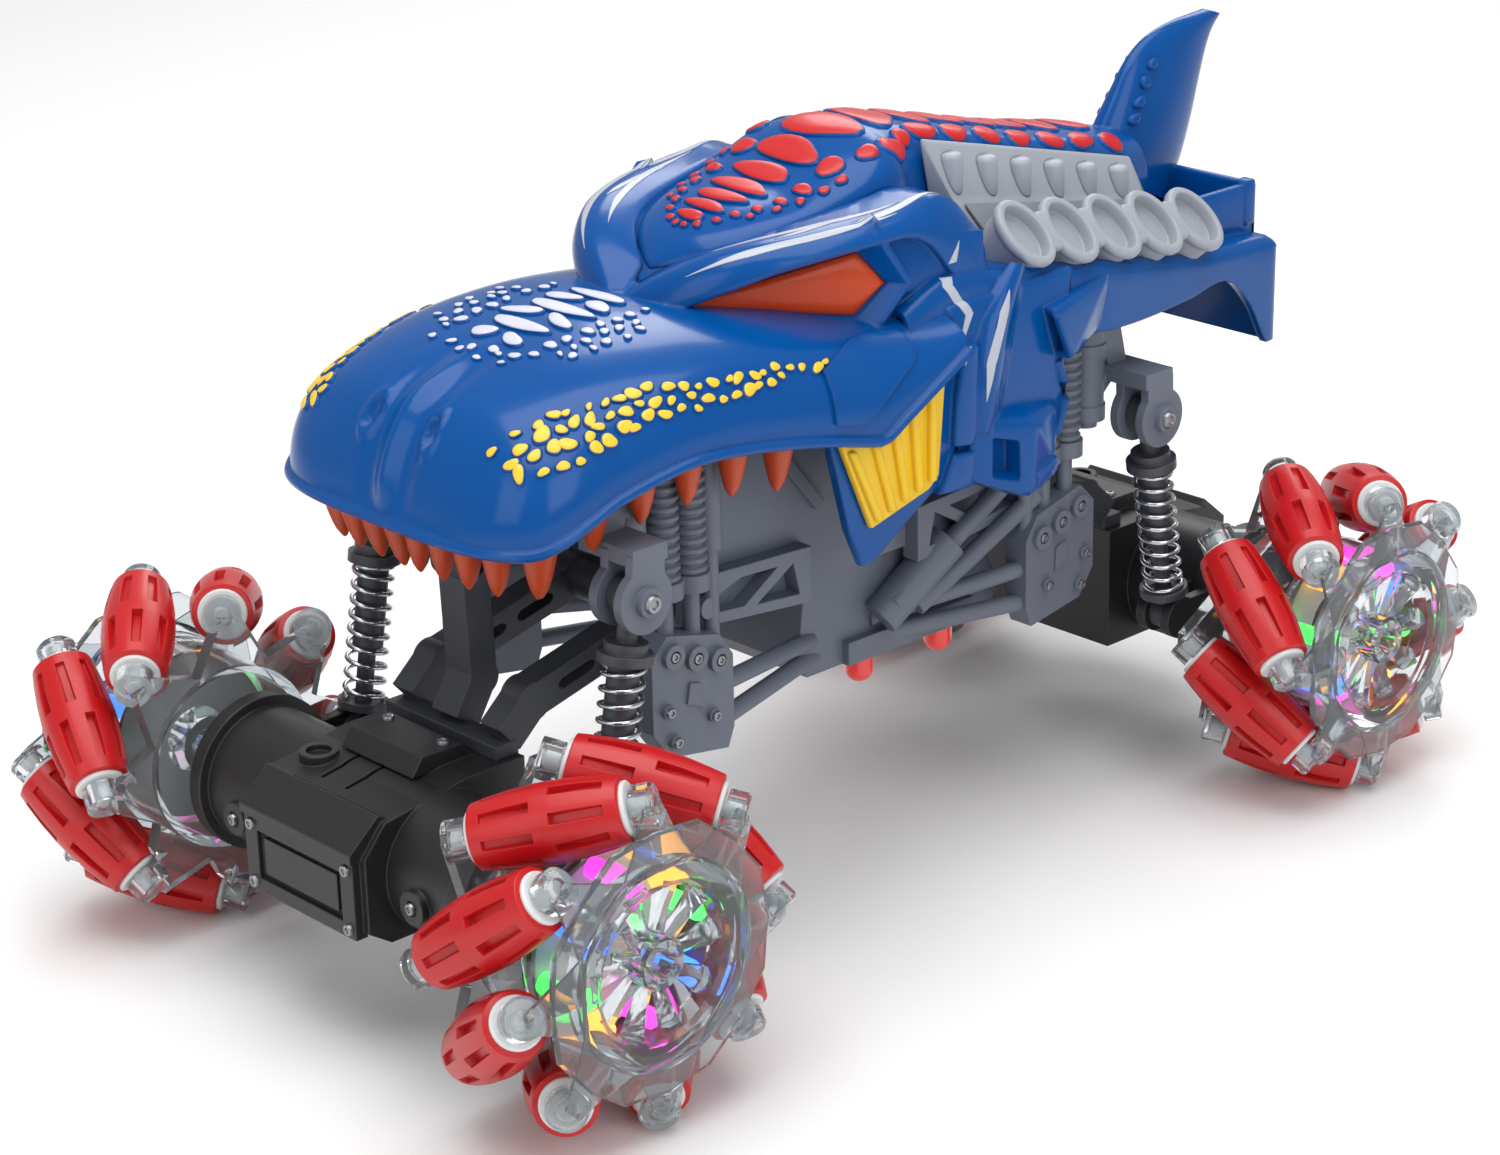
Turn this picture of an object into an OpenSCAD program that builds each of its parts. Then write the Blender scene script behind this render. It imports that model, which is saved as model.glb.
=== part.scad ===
// Remote control stunt car: a beast-head shell over a sprung chassis, on four wheels of tilted rollers.
// Frame: +X towards the nose, +Y towards the car's left, +Z up, origin on the floor under the middle.

/* [Wheels] */
// Wheel diameter over the rollers
wheel_d = 84; // [81:0.5:87]
// Distance between the front and rear axles
wheelbase = 248; // [246:0.5:254]
// Distance between the middles of the left and right wheels
track = 151; // [150:0.5:156]
// Tilt of the roller axes from the axle, in degrees
roller_tilt = 40; // [38:0.5:41]
// Roller diameter at its middle
roller_d = 17.5; // [17:0.1:18]
// Length of a roller's sleeve
roller_len = 33; // [31:0.5:33.5]
// Half the distance between the lug faces, along the roller
lug_reach = 23; // [22.5:0.1:23.3]

/* [Suspension] */
// Radial play around pins and stubs
pin_gap = 0.3; // [0.2:0.05:0.4]
// Outer diameter of the coil springs
spring_d = 10.4; // [10.2:0.1:11]
// Wire diameter of the coil springs
spring_wire = 1; // [0.8:0.05:1.1]
// Whole turns of each coil spring
spring_turns = 10; // [8:1:11]

/* [Body] */
// Wall thickness of the shell
shell_wall = 2; // [1.6:0.1:2.2]
// Length of the teeth
tooth_len = 14; // [11:0.5:15]
// Teeth on each half of the lip
tooth_count = 11; // [9:1:11]
// Louvre wedges on each exhaust bank
wedge_count = 6; // [4:1:6]

/* [Hidden] */
WHEELS = ["front_left", "front_right", "rear_left", "rear_right"];
ROLLERS = [for (w = WHEELS) for (i = [1 : 8]) str("roller_", w, "_", i)];
HUBS = [for (w = WHEELS) for (h = ["hub_outer_", "hub_inner_"]) str(h, w)];
$fn = 48;

// Wheel: eight rollers on a circle, each tilted, their barrels filling the wheel's round outline.
wheel_r = wheel_d / 2;
ring_r = wheel_r - roller_d / 2;
pitch = 45;
barrel_end = roller_len / 2;
end_drop = barrel_end * sin(roller_tilt);
// Angle from a roller's middle to its end, and the axle height with a gap between two rollers below.
end_angle = atan(end_drop / ring_r);
axle_z = wheel_r * cos(max(0, pitch / 2 - end_angle));
axle_x = wheelbase / 2;
wheel_y = track / 2;
// The drawing heights of the chassis and body were taken with the axle 41.8 above the floor.
draw_axle = 41.8;
lift = axle_z - draw_axle;

// Suspension points in the side plane, as [x, z] at the drawing height.
pivot = [52, 80];
upper_eye = [86.5, 100.5];
lower_eye = [axle_x - 28, 44];
shock_vec = upper_eye - lower_eye;
shock_len = norm(shock_vec);
shock_lean = atan2(shock_vec[0], shock_vec[1]);
spring_low = 8;
spring_high = shock_len - 15;
// The gearbox flanges and the shocks stand a set way inside the wheels, with the half axles in bores.
flange_y = wheel_y - 29.5;
shock_y = wheel_y - 30.5;
bore_depth = 10;
half_axle = wheel_y - flange_y + bore_depth - 0.5;

// A value at x from a table of [x, value] rows, on a smooth curve through them.
function slot_of(t, x, i = 0) = i >= len(t) - 2 || x <= t[i + 1][0] ? i : slot_of(t, x, i + 1);
function slope(t, i) = let (a = max(0, i - 1), b = min(len(t) - 1, i + 1))
    (t[b][1] - t[a][1]) / (t[b][0] - t[a][0]);
function curve(t, x) = let (
        i = slot_of(t, x),
        h = t[i + 1][0] - t[i][0],
        u = (x - t[i][0]) / h,
        m = slope(t, i) * h,
        n = slope(t, i + 1) * h)
    t[i][1] * (2 * u ^ 3 - 3 * u ^ 2 + 1) + m * (u ^ 3 - 2 * u ^ 2 + u)
    + t[i + 1][1] * (3 * u ^ 2 - 2 * u ^ 3) + n * (u ^ 3 - u ^ 2);

// A closed skin over rings that all have the same number of points.
module loft(rings) {
    n = len(rings[0]);
    m = len(rings);
    polyhedron(points = [for (r = rings) each r], faces = concat(
        [for (i = [0 : m - 2]) for (j = [0 : n - 1]) each [
            [i * n + j, i * n + (j + 1) % n, (i + 1) * n + j],
            [i * n + (j + 1) % n, (i + 1) * n + (j + 1) % n, (i + 1) * n + j]]],
        [[for (j = [n - 1 : -1 : 0]) j]],
        [[for (j = [0 : n - 1]) (m - 1) * n + j]]), convexity = 8);
}

module mirrored_y() {
    children();
    mirror([0, 1, 0]) children();
}

// Everything but the wheels is drawn at the drawing height and lifted to the real axle height.
module raised() {
    translate([0, 0, lift]) children();
}

// A slab with a side outline: draws in [x, z] and reaches from y0 to y1.
module slab(y0, y1) {
    translate([0, y1, 0]) rotate([90, 0, 0]) linear_extrude(y1 - y0) children();
}

module rod_y(p, r, y0, y1) {
    translate([p[0], y0, p[1]]) rotate([-90, 0, 0]) cylinder(r = r, h = y1 - y0);
}

module rod_between(a, b, r) {
    v = b - a;
    translate(a) rotate([0, acos(v[2] / norm(v)), atan2(v[1], v[0])]) cylinder(r = r, h = norm(v));
}

// A flat bar from a to b in a side outline.
module bar(a, b, w) {
    v = b - a;
    translate(a) rotate(atan2(v[1], v[0])) translate([0, -w / 2]) square([norm(v), w]);
}

// A slot with bevelled ends in a side outline.
module slot_cut(a, b, w) {
    u = (b - a) / norm(b - a);
    n = [-u[1], u[0]];
    polygon([a + w / 2 * n, a - w / 2 * u + w / 5 * n, a - w / 2 * u - w / 5 * n, a - w / 2 * n,
        b - w / 2 * n, b + w / 2 * u - w / 5 * n, b + w / 2 * u + w / 5 * n, b + w / 2 * n]);
}

// A wheel drawn front left; the other three are its mirror images.
module at_wheel(name) {
    sx = name == "front_left" || name == "front_right" ? 0 : 1;
    sy = name == "front_left" || name == "rear_left" ? 0 : 1;
    mirror([sx, 0, 0]) mirror([0, sy, 0]) translate([axle_x, wheel_y, axle_z]) children();
}

// Turns about the axle and stands +Z along the axis of roller i, with its middle at the origin.
module on_roller(i) {
    rotate([0, -(pitch * (i - 1) + pitch / 2), 0]) translate([ring_r, 0, 0])
        rotate([roller_tilt - 90, 0, 0]) children();
}

function barrel_r(s) = wheel_r - sqrt(ring_r ^ 2 + (s * sin(roller_tilt)) ^ 2);

module roller_shape() {
    steps = 6;
    difference() {
        rotate_extrude() polygon(concat(
            [[0, -barrel_end - 5.2], [2, -barrel_end - 5.2], [2, -barrel_end - 1],
                [5.9, -barrel_end - 1], [5.9, -barrel_end]],
            [for (k = [0 : steps]) let (s = barrel_end * (2 * k / steps - 1)) [barrel_r(s), s]],
            [[5.9, barrel_end], [5.9, barrel_end + 1], [2, barrel_end + 1], [2, barrel_end + 5.2],
                [0, barrel_end + 5.2]]));
        for (k = [0 : 7]) {
            rotate(pitch * k) translate([roller_d / 2 - 1.5, -1.1, 2]) cube([4, 2.2, barrel_end * 0.68]);
            rotate(pitch * (k + 0.5)) translate([roller_d / 2 - 1.5, -1.1, -2 - barrel_end * 0.68])
                cube([4, 2.2, barrel_end * 0.68]);
        }
    }
}

module roller(name, i) {
    color([0.8, 0.11, 0.12]) at_wheel(name) on_roller(i) roller_shape();
}

// One side's eight lugs with their bores, side = 1 outside and -1 inside.
module lug_bodies(side) {
    for (i = [1 : 8]) on_roller(i)
        translate([0, 0, side > 0 ? barrel_end + 1.6 : -lug_reach])
            cylinder(r = 4.7, h = lug_reach - barrel_end - 1.6);
}

module lug_bores(side) {
    for (i = [1 : 8]) on_roller(i)
        translate([0, 0, side > 0 ? barrel_end + 0.5 : 0.9 - lug_reach])
            cylinder(r = 2 + pin_gap, h = lug_reach - barrel_end - 1.4);
}

// Round pockets that keep the star plate clear of the roller ends.
module roller_room(side) {
    for (i = [1 : 8]) on_roller(i)
        translate([0, 0, side > 0 ? barrel_end - 4 : -barrel_end - 1.4]) cylinder(r = 7.7, h = 5.4);
}

// The star plate that carries the lugs, from y0 to y1 along the axle.
module star_plate(y0, y1, side) {
    turn = pitch / 2 + side * atan(20.5 * sin(roller_tilt) / ring_r);
    tip = ring_r + 3;
    slab(y0, y1) polygon([for (i = [0 : 7]) let (a = turn + pitch * i) each [
        tip * [cos(a), sin(a)] + 2.6 * [sin(a), -cos(a)],
        tip * [cos(a), sin(a)] - 2.6 * [sin(a), -cos(a)],
        25.2 * [cos(a + pitch / 2), sin(a + pitch / 2)]]]);
}

// Outer half of a wheel: star plate, lugs, spoked face and a sloped rim that fills in between the lugs.
module hub_outer(name) {
    color([0.86, 0.9, 0.93]) at_wheel(name) {
        difference() {
            union() {
                star_plate(16, 19.5, 1);
                lug_bodies(1);
                rod_y([0, 0], 22.5, 0.1, 16.5);
                rotate([-90, 0, 0]) rotate_extrude()
                    polygon([[20, 17.2], [30.5, 17.2], [30.5, 19.4], [24.5, 20.8], [20, 20.8]]);
            }
            lug_bores(1);
            roller_room(1);
            rod_y([0, 0], 20.5, 0, 13.5);
            rod_y([0, 0], 17.5, 13, 25);
        }
        difference() {
            union() {
                rod_y([0, 0], 6.2, 9, 19.5);
                for (k = [0 : 9]) rotate([0, 36 * k, 0]) translate([4.5, 14, -1.2]) cube([14, 3, 2.4]);
            }
            rod_y([0, 0], 3, 8, 20);
        }
    }
}

// Inner half of a wheel: star plate, lugs, drum and the stub that the gearbox drives.
module hub_inner(name) {
    color([0.82, 0.86, 0.9]) at_wheel(name) difference() {
        union() {
            star_plate(-19.5, -16, -1);
            lug_bodies(-1);
            difference() {
                rod_y([0, 0], 22.5, -16.5, -0.1);
                rod_y([0, 0], 20.5, -13, 0);
            }
            rod_y([0, 0], 7, -14, -4);
            rod_y([0, 0], 4, -half_axle, -15);
        }
        lug_bores(-1);
        roller_room(-1);
        rod_y([0, 0], 1.6, -12, 0);
    }
}

// Gearbox, drawn at the front with the axle as its origin: core, barrels, flanges, frame, lid and lugs.
module gearbox_shape() {
    translate([axle_x, 0, draw_axle]) difference() {
        union() {
            slab(-22, 22)
                polygon([[-24, -15], [16, -15], [22, -11], [22, 7], [16, 14], [-8, 17.5], [-24, 17.5]]);
            slab(-14, 14) polygon([[-14, -16.5], [10, -16.5], [12, -14], [-16, -14]]);
            slab(-20.5, 20.5) polygon([[12, 13], [16.6, 15.6], [25, 8.6], [25, 6.4], [20, 6.4]]);
            slab(-13, 13) polygon([[-16, 17], [1, 17], [-2, 21.3], [-13, 21.3]]);
            slab(-20, 20) polygon([[21, -12.5], [24.2, -12.5], [24.2, 6], [21, 6]]);
            rod_y([0, 0], 16.5, -flange_y, flange_y);
            mirrored_y() {
                rod_y([0, 0], 19, flange_y - 0.5, flange_y + 3.5);
                translate([12, 33, -2]) rotate([0, 90, 0]) cylinder(r = 4, h = 6.5);
                for (y = [shock_y - 5.4, shock_y + 2.6]) slab(y, y + 2.8) {
                    translate(lower_eye - [axle_x, draw_axle]) circle(5.5);
                    bar(lower_eye - [axle_x, draw_axle], [-10, 2.2], 9);
                }
                rod_y(lower_eye - [axle_x, draw_axle], 1.9, shock_y - 5, shock_y + 5);
            }
            translate([6, -15, 12]) cylinder(r = 4.6, h = 5.2);
        }
        slab(-15.5, 15.5) polygon([[22.8, -9], [26, -9], [26, 3], [22.8, 3]]);
        translate([6, -15, 15.6]) cylinder(r = 3, h = 5);
        for (y = [-7, 2]) translate([4, y, 15.1]) rotate([0, 8.3, 0]) cube([15, 1.4, 3], center = true);
        mirrored_y() {
            rod_y([0, 0], 4 + pin_gap, flange_y - bore_depth, flange_y + 14);
            translate([0, flange_y + 2, 0]) rotate([-90, 0, 0]) difference() {
                cylinder(r = 16.5, h = 5);
                cylinder(r = 9, h = 5);
            }
            translate([16, 33, -2]) rotate([0, 90, 0]) cylinder(r = 1.8, h = 5);
        }
    }
    translate([axle_x, 0, draw_axle]) slab(-13.5, 13.5)
        polygon([[22.5, -7.5], [23.8, -7.5], [23.8, 1.5], [22.5, 1.5]]);
}

module front_gearbox() {
    color([0.15, 0.15, 0.15]) raised() gearbox_shape();
}

module rear_gearbox() {
    color([0.15, 0.15, 0.15]) raised() mirror([1, 0, 0]) gearbox_shape();
}

// Trailing arms with their pivot tube, the foot on the gearbox and the bent centre upright.
module arms_shape() {
    foot = [axle_x - 22, 63];
    knee = [axle_x - 30, 70];
    difference() {
        union() {
            mirrored_y() slab(12.5, 19.5) difference() {
                union() {
                    bar(foot, knee, 8.5);
                    translate(knee) circle(4.7);
                    bar(knee, pivot, 8.5);
                    translate(pivot) circle(5.5);
                }
                for (k = [0.2, 0.55])
                    slot_cut(knee + k * (pivot - knee), knee + (k + 0.2) * (pivot - knee), 2.8);
            }
            rod_y(pivot, 5, -19.8, 19.8);
            slab(-20, 20) polygon([[axle_x - 24, 59.4], [axle_x - 17.4, 59.4],
                [axle_x - 17.4, 62.6], [axle_x - 24, 62.6]]);
            slab(-4.5, 4.5) {
                bar(foot, [axle_x - 27.5, 72], 7.5);
                translate([axle_x - 27.5, 72]) circle(4.2);
                bar([axle_x - 27.5, 72], [axle_x - 26.5, 100], 7.5);
            }
            rod_y([axle_x - 26.5, 100], 4.6, -6, 6);
        }
        rod_y(pivot, 2 + pin_gap, -30, 30);
        rod_y([axle_x - 26.5, 100], 1.8, -10, 10);
    }
}

module front_arms() {
    color([0.28, 0.29, 0.32]) raised() arms_shape();
}

module rear_arms() {
    color([0.28, 0.29, 0.32]) raised() mirror([1, 0, 0]) arms_shape();
}

// Stands +Z along the left front shock, from its lower eye to its upper one.
module on_shock() {
    translate([lower_eye[0], shock_y, lower_eye[1]]) rotate([0, shock_lean, 0]) children();
}

module shock_tube_shape() {
    on_shock() difference() {
        union() {
            translate([0, -2.5, shock_len]) rotate([-90, 0, 0]) cylinder(r = 5, h = 5);
            translate([0, 0, shock_len - 11]) cylinder(r = 2.4, h = 8);
            translate([0, 0, shock_len - 15]) cylinder(r = 6.4, h = 2.4);
            translate([0, 0, shock_len - 12.7]) cylinder(r = 5, h = 2.4);
            translate([0, 0, shock_len - 36]) cylinder(r = 3.75, h = 22);
        }
        translate([0, -5, shock_len]) rotate([-90, 0, 0]) cylinder(r = 2 + pin_gap, h = 10);
        translate([0, 0, shock_len - 37]) cylinder(r = 2.15 + pin_gap, h = 20);
    }
}

module shock_rod_shape() {
    on_shock() difference() {
        union() {
            translate([0, -2.3, 0]) rotate([-90, 0, 0]) cylinder(r = 4, h = 4.6);
            cylinder(r = 2.15, h = 34);
            translate([0, 0, 6]) cylinder(r = 6.2, h = spring_low - 6);
        }
        translate([0, -5, 0]) rotate([-90, 0, 0]) cylinder(r = 1.9 + pin_gap, h = 10);
    }
}

// Coil spring: one round wire of even pitch, with a straight end of one wire diameter at each end.
spring_r = (spring_d - spring_wire) / 2;
coil_low = spring_low + spring_wire / 2 + 0.15;
coil_high = spring_high - spring_wire / 2 - 0.15;
coil_rise = (coil_high - coil_low) / spring_turns;
coil_steps = 8 * spring_turns;
function coil_at(k) = let (a = 45 * k) [spring_r * cos(a), spring_r * sin(a), coil_low + coil_rise * k / 8];
function coil_dir(k) = let (
        a = 45 * k,
        v = [-2 * PI * spring_r * sin(a), 2 * PI * spring_r * cos(a), coil_rise])
    v / norm(v);
function wire_ring(p, d) = let (
        s = cross(d, [0, 0, 1]) / norm(cross(d, [0, 0, 1])),
        t = cross(s, d))
    [for (j = [0 : 5]) p + spring_wire / 2 * (cos(60 * j) * s + sin(60 * j) * t)];
coil_rings = concat(
    [wire_ring(coil_at(0) - spring_wire * [0, 1, 0], [0, 1, 0])],
    [for (k = [0 : coil_steps]) wire_ring(coil_at(k), coil_dir(k))],
    [wire_ring(coil_at(coil_steps) + spring_wire * [-sin(45 * coil_steps), cos(45 * coil_steps), 0],
        [-sin(45 * coil_steps), cos(45 * coil_steps), 0])]);
coil_gap = min([for (k = [0 : 7]) min([for (j = [k + 4 : min(k + 12, coil_steps)])
    norm(coil_at(j) - coil_at(k)) - spring_wire])]);
echo(least_gap_in_a_spring = coil_gap);

module spring_shape() {
    on_shock() loft(coil_rings);
}

module front_shock_tubes() {
    color([0.36, 0.38, 0.42]) raised() mirrored_y() shock_tube_shape();
}

module front_shock_rods() {
    color([0.36, 0.38, 0.42]) raised() mirrored_y() shock_rod_shape();
}

module front_springs() {
    color([0.85, 0.86, 0.88]) raised() mirrored_y() spring_shape();
}

module rear_shock_tubes() {
    color([0.36, 0.38, 0.42]) raised() mirror([1, 0, 0]) mirrored_y() shock_tube_shape();
}

module rear_shock_rods() {
    color([0.36, 0.38, 0.42]) raised() mirror([1, 0, 0]) mirrored_y() shock_rod_shape();
}

module rear_springs() {
    color([0.85, 0.86, 0.88]) raised() mirror([1, 0, 0]) mirrored_y() spring_shape();
}

// A moulded bellows tube from z0 to z1 with one rounded rib every 2.4.
module bellows(x, y, z0, z1) {
    ribs = floor((z1 - z0) / 2.4);
    translate([x, y, z0]) rotate_extrude() polygon(concat([[0, 0]],
        [for (k = [0 : ribs - 1]) let (z = 2.4 * k)
            each [[3.1, z], [4, z + 0.6], [4, z + 1.5], [3.1, z + 2.1]]],
        [[3.1, z1 - z0], [0, z1 - z0]]));
}

// One end's left side: tower plate, bellows, damper tube, shock ear and radius rods.
module chassis_corner() {
    slab(31, 38) polygon([[50, 74], [54, 80], [70, 84], [75, 79], [75, 61], [70, 54], [52, 51], [50, 56]]);
    for (p = [[69, 79], [62, 76.6], [55, 74.2]]) difference() {
        rod_y(p, 3, 37.5, 39.6);
        rod_y(p, 1.5, 38.6, 40);
    }
    for (p = [[71, 66], [57, 61], [69, 58]]) rod_y(p, 1.7, 37.5, 39.4);
    slab(37, 38.8) polygon([[60, 64], [65, 66], [64, 71], [60.5, 70]]);
    for (x = [67.6, 59.4]) {
        translate([x, 34.5, 78]) cylinder(r = 2, h = 20);
        translate([x, 34.5, 92]) cylinder(r = 4.6, h = 4.2);
        bellows(x, 34.5, 96, 125);
    }
    translate([53.2, 34.5, 76]) cylinder(r = 1.9, h = 30);
    translate([53.2, 34.5, 100]) cylinder(r = 2.9, h = 25);
    translate([77, 33, 101]) cylinder(r = 4.6, h = 24);
    translate([77, 33, 99]) cylinder(r = 5, h = 4);
    translate([77, 33, 116]) cylinder(r = 5, h = 3);
    translate([77, 33, 97]) cylinder(r = 3, h = 4);
    for (y = [shock_y - 5.4, shock_y + 2.8]) slab(y, y + 2.5) {
        translate(upper_eye) circle(7.6);
        bar(upper_eye + [-0.6, 0], upper_eye + [-1, 11], 9.4);
    }
    translate([upper_eye[0] - 6.5, 32, 109]) cube([10, shock_y - 26.7, 4]);
    slab(32, 37) {
        bar([85, 110], [81, 126], 6.5);
        bar([83, 121], [77, 114], 3.2);
        bar([84, 112], [77, 106], 3.2);
    }
    rod_y(upper_eye, 2, shock_y - 5, shock_y + 6);
    rod_y(upper_eye, 3.4, shock_y + 5, shock_y + 7.2);
    rod_between([52, 35, 66], [10, 22, 61], 2.2);
    rod_between([52, 35, 57], [8, 21, 56], 2.2);
    slab(26.5, 31.5) difference() {
        polygon([[18, 76], [57, 80], [57, 92], [18, 90]]);
        polygon([[22, 79], [36, 80.3], [24, 87.4]]);
        polygon([[40, 81], [53, 82.4], [53, 84.5], [41, 88.5], [29, 87.8]]);
    }
    rod_y([55, 86], 2.6, 30, 36);
    rod_y([70, 72], 2.6, 30, 34);
    for (y = [20.2]) slab(y, y + 3.8) {
        bar([42, pivot[1]], pivot, 10);
        translate(pivot) circle(5);
    }
}

// Tub, pod, deck and the pivot pins, with the battery bay, the electronics well and the switch pocket cut in.
module chassis_frame() {
    color([0.41, 0.43, 0.48]) raised() difference() {
        union() {
            translate([-44, -27, 79]) cube([88, 54, 46]);
            slab(-23, 23) polygon([[-56, 58], [-52, 52], [12, 52], [15, 56], [12, 80], [-44, 80]]);
            mirrored_y() translate([-44, 18, 52.1]) cube([44, 7.5, 6]);
            translate([0, 0, 124]) linear_extrude(3)
                polygon([[84, 37], [44, 37], [40, 27], [-40, 27], [-44, 37], [-84, 37],
                    [-84, -37], [-44, -37], [-40, -27], [40, -27], [44, -37], [84, -37]]);
            for (m = [0, 1]) mirror([m, 0, 0]) {
                mirrored_y() chassis_corner();
                rod_y(pivot, 2, -23, 23);
            }
            mirrored_y() {
                rod_between([-12, 29, 66], [-53, 34.5, 94], 2.4);
                rod_between([-20, 29, 63], [-57, 34.5, 84], 2.4);
                rod_between([-10, 26, 62], [-30, 30, 78], 5);
                for (x = [-27, -3, 21]) slab(26, 28.6) bar([x - 9, 98], [x + 9, 120], 3);
            }
        }
        translate([-41, -24, 92]) cube([82, 48, 40]);
        translate([-47, -14.5, 50]) cube([45, 29, 22.5]);
        translate([-50.3, -16.3, 50]) cube([50.6, 32.6, 4.5]);
        translate([4.7, -6.2, 50]) cube([4.6, 12.4, 5]);
        translate([3, -8, 54]) cube([8, 16, 3]);
    }
}

module battery_pack() {
    color([0.16, 0.4, 0.2]) raised() translate([-46.5, -14, 54.7]) cube([44, 28, 17.4]);
}

module battery_door() {
    color([0.36, 0.38, 0.42]) raised() difference() {
        translate([-50, -16, 52]) cube([50, 32, 2.4]);
        for (k = [0 : 4]) translate([-44 + 5 * k, -12, 51]) cube([2, 24, 1.8]);
        translate([-6, 0, 51]) cylinder(r = 3.2, h = 2);
        translate([-6, 0, 51]) cylinder(r = 1.4, h = 5);
    }
}

module power_switch() {
    color([0.12, 0.12, 0.13]) raised() {
        translate([3.4, -7.7, 54.3]) cube([7.2, 10, 2.4]);
        translate([5, -5.7, 50.9]) cube([4, 6, 4]);
    }
}

module underglow_lamps() {
    color([0.85, 0.3, 0.28]) raised() mirrored_y() for (x = [-8, -36]) translate([x, 20.8, 0]) {
        translate([0, 0, 48.2]) cylinder(r = 3.6, h = 3.7);
        translate([0, 0, 48.2]) sphere(3.6);
    }
}

// Upper jaw and snout: half width, lip height and crown height along the car.
nose_x = 120;
nose_c = 92;
nose_w = 47.5;
nose_e = 3.6;
side_t = [[-12, 54], [12, 53], [32, 52], [50, 50.5], [68, 49.5], [80, 48.6], [92, 47.5]];
lip_t = [[-12, 133], [0, 125], [12, 118.5], [20, 120.8], [32, 124], [50, 127], [68, 128.5], [80, 127],
    [92, 124], [100, 121], [107, 118], [112, 116.2], [120, 115.5]];
crown_t = [[-12, 146], [10, 148], [30, 150.5], [50, 152.3], [66, 152], [80, 150.6], [92, 148], [104, 143.4],
    [110, 139.4], [114, 134], [116.8, 128], [118.4, 122.5], [119.2, 119], [120, 117]];
function half(x) = x > nose_c
    ? nose_w * (max(0.0001, 1 - ((x - nose_c) / (nose_x - nose_c + 0.2)) ^ nose_e)) ^ (1 / nose_e)
    : curve(side_t, x);
jaw_xs = [120, 119.2, 118.2, 116.6, 114, 110.5, 106, 100, 92, 83, 74, 65, 56, 47, 38, 29, 20, 12, 4, -4, -12];
function round_to(c, e) = sign(c) * abs(c) ^ e;
function jaw_ring(x, d) = let (
        shift = min(nose_x, x + 1.2 * d),
        w = half(shift) - d,
        lo = curve(lip_t, x),
        hi = curve(crown_t, shift) - d)
    concat(
        d > 0 ? [[x, w, lo - 30]]
            : [[x, w + 0.2, lo - 0.4], [x, w + 1.3, lo + 0.1], [x, w + 1.3, lo + 1.2]],
        [for (k = [2 : 20]) let (a = 180 * k / 22)
            [x, w * round_to(cos(a), 0.59), lo + (hi - lo) * round_to(sin(a), 0.77)]],
        d > 0 ? [[x, -w, lo - 30]]
            : [[x, -w - 1.3, lo + 1.2], [x, -w - 1.3, lo + 0.1], [x, -w - 0.2, lo - 0.4]]);

module jaw(d) {
    loft([for (x = jaw_xs) if (x <= nose_x - 1.3 * d) jaw_ring(x, d)]);
}

// Brow cap: an oval rim that overhangs the eyes and runs down behind them.
cap_top = [[-29, 158], [-12, 168.4], [5, 169.6], [27, 167], [40, 164.2], [47, 161.6], [49, 159.8]];
cap_low = [[-29, 142], [-20, 148], [-8, 161], [5, 163.5], [27, 160.5], [40, 156], [49, 150]];
cap_xs = [48.8, 48, 46, 42, 36, 28, 20, 10, 0, -10, -20, -29];
function cap_half(x) = x > -10 ? 44 * (1 - ((x + 10) / 59) ^ 2.6) ^ (1 / 2.6) : 44 + (x + 10) / -26;
function cap_ring(x) = let (
        w = cap_half(x),
        lo = curve(cap_low, x),
        hi = curve(cap_top, x))
    [[x, w - 1.5, lo], [x, w, lo + 2.5], [x, w - 1.6, hi - 3.4], [x, w - 5 - w / 30, hi],
        [x, w * 0.5, hi - 0.8], [x, -w * 0.5, hi - 0.8], [x, 5 + w / 30 - w, hi], [x, 1.6 - w, hi - 3.4],
        [x, -w, lo + 2.5], [x, 1.5 - w, lo]];

module cap() {
    loft([for (x = cap_xs) cap_ring(x)]);
}

// Face wedge under the brow, whose slanted sides carry the eyes.
eye_front = [44, 15];
eye_back = [0, 40.5];

module face_plan(d) {
    nose = [eye_front[0] - d, eye_front[1] - 0.6 * d];
    cheek = [eye_back[0], eye_back[1] - 1.15 * d];
    neck = [d - 29, 44 - d];
    polygon([nose, cheek, neck, [neck[0], -neck[1]], [cheek[0], -cheek[1]], [nose[0], -nose[1]]]);
}

module face(d) {
    translate([0, 0, d > 0 ? 120 : 136]) linear_extrude(d > 0 ? 43.5 - d : 27.5) face_plan(d);
}

// Dome and back: one ridge from the brow to the tail, square-shouldered where the exhaust banks sit.
dome_half = [[-120, 16], [-110, 18.4], [-98, 19.4], [-60, 19.5], [-34, 19.5], [-31, 19.7],
    [-27, 25.5], [-22, 28.5], [-10, 29], [10, 25], [24, 17], [31, 9], [34, 4]];
dome_top = [[-120, 160.4], [-110, 162.6], [-81, 168], [-55, 174.4], [-31, 179.6], [-21, 180.8], [-7, 180],
    [3, 178.4], [14, 175.5], [25, 171], [31, 167.4], [34, 164.5]];
dome_y = [[-120, 0.5], [-36, 0.45], [-30, 0.55], [-22, 0.85], [34, 0.9]];
dome_z = [[-120, 0.5], [-36, 0.45], [-30, 0.5], [-22, 0.6], [34, 0.62]];
dome_xs = [34, 33, 31, 27, 21, 13, 4, -6, -16, -22, -25, -28, -31, -36, -48, -62, -76, -90, -104, -114, -120];
function fender_z(x) = x > -28 ? 150.5 : 150.5 + (x + 28) * 13.9 / 82;
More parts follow.
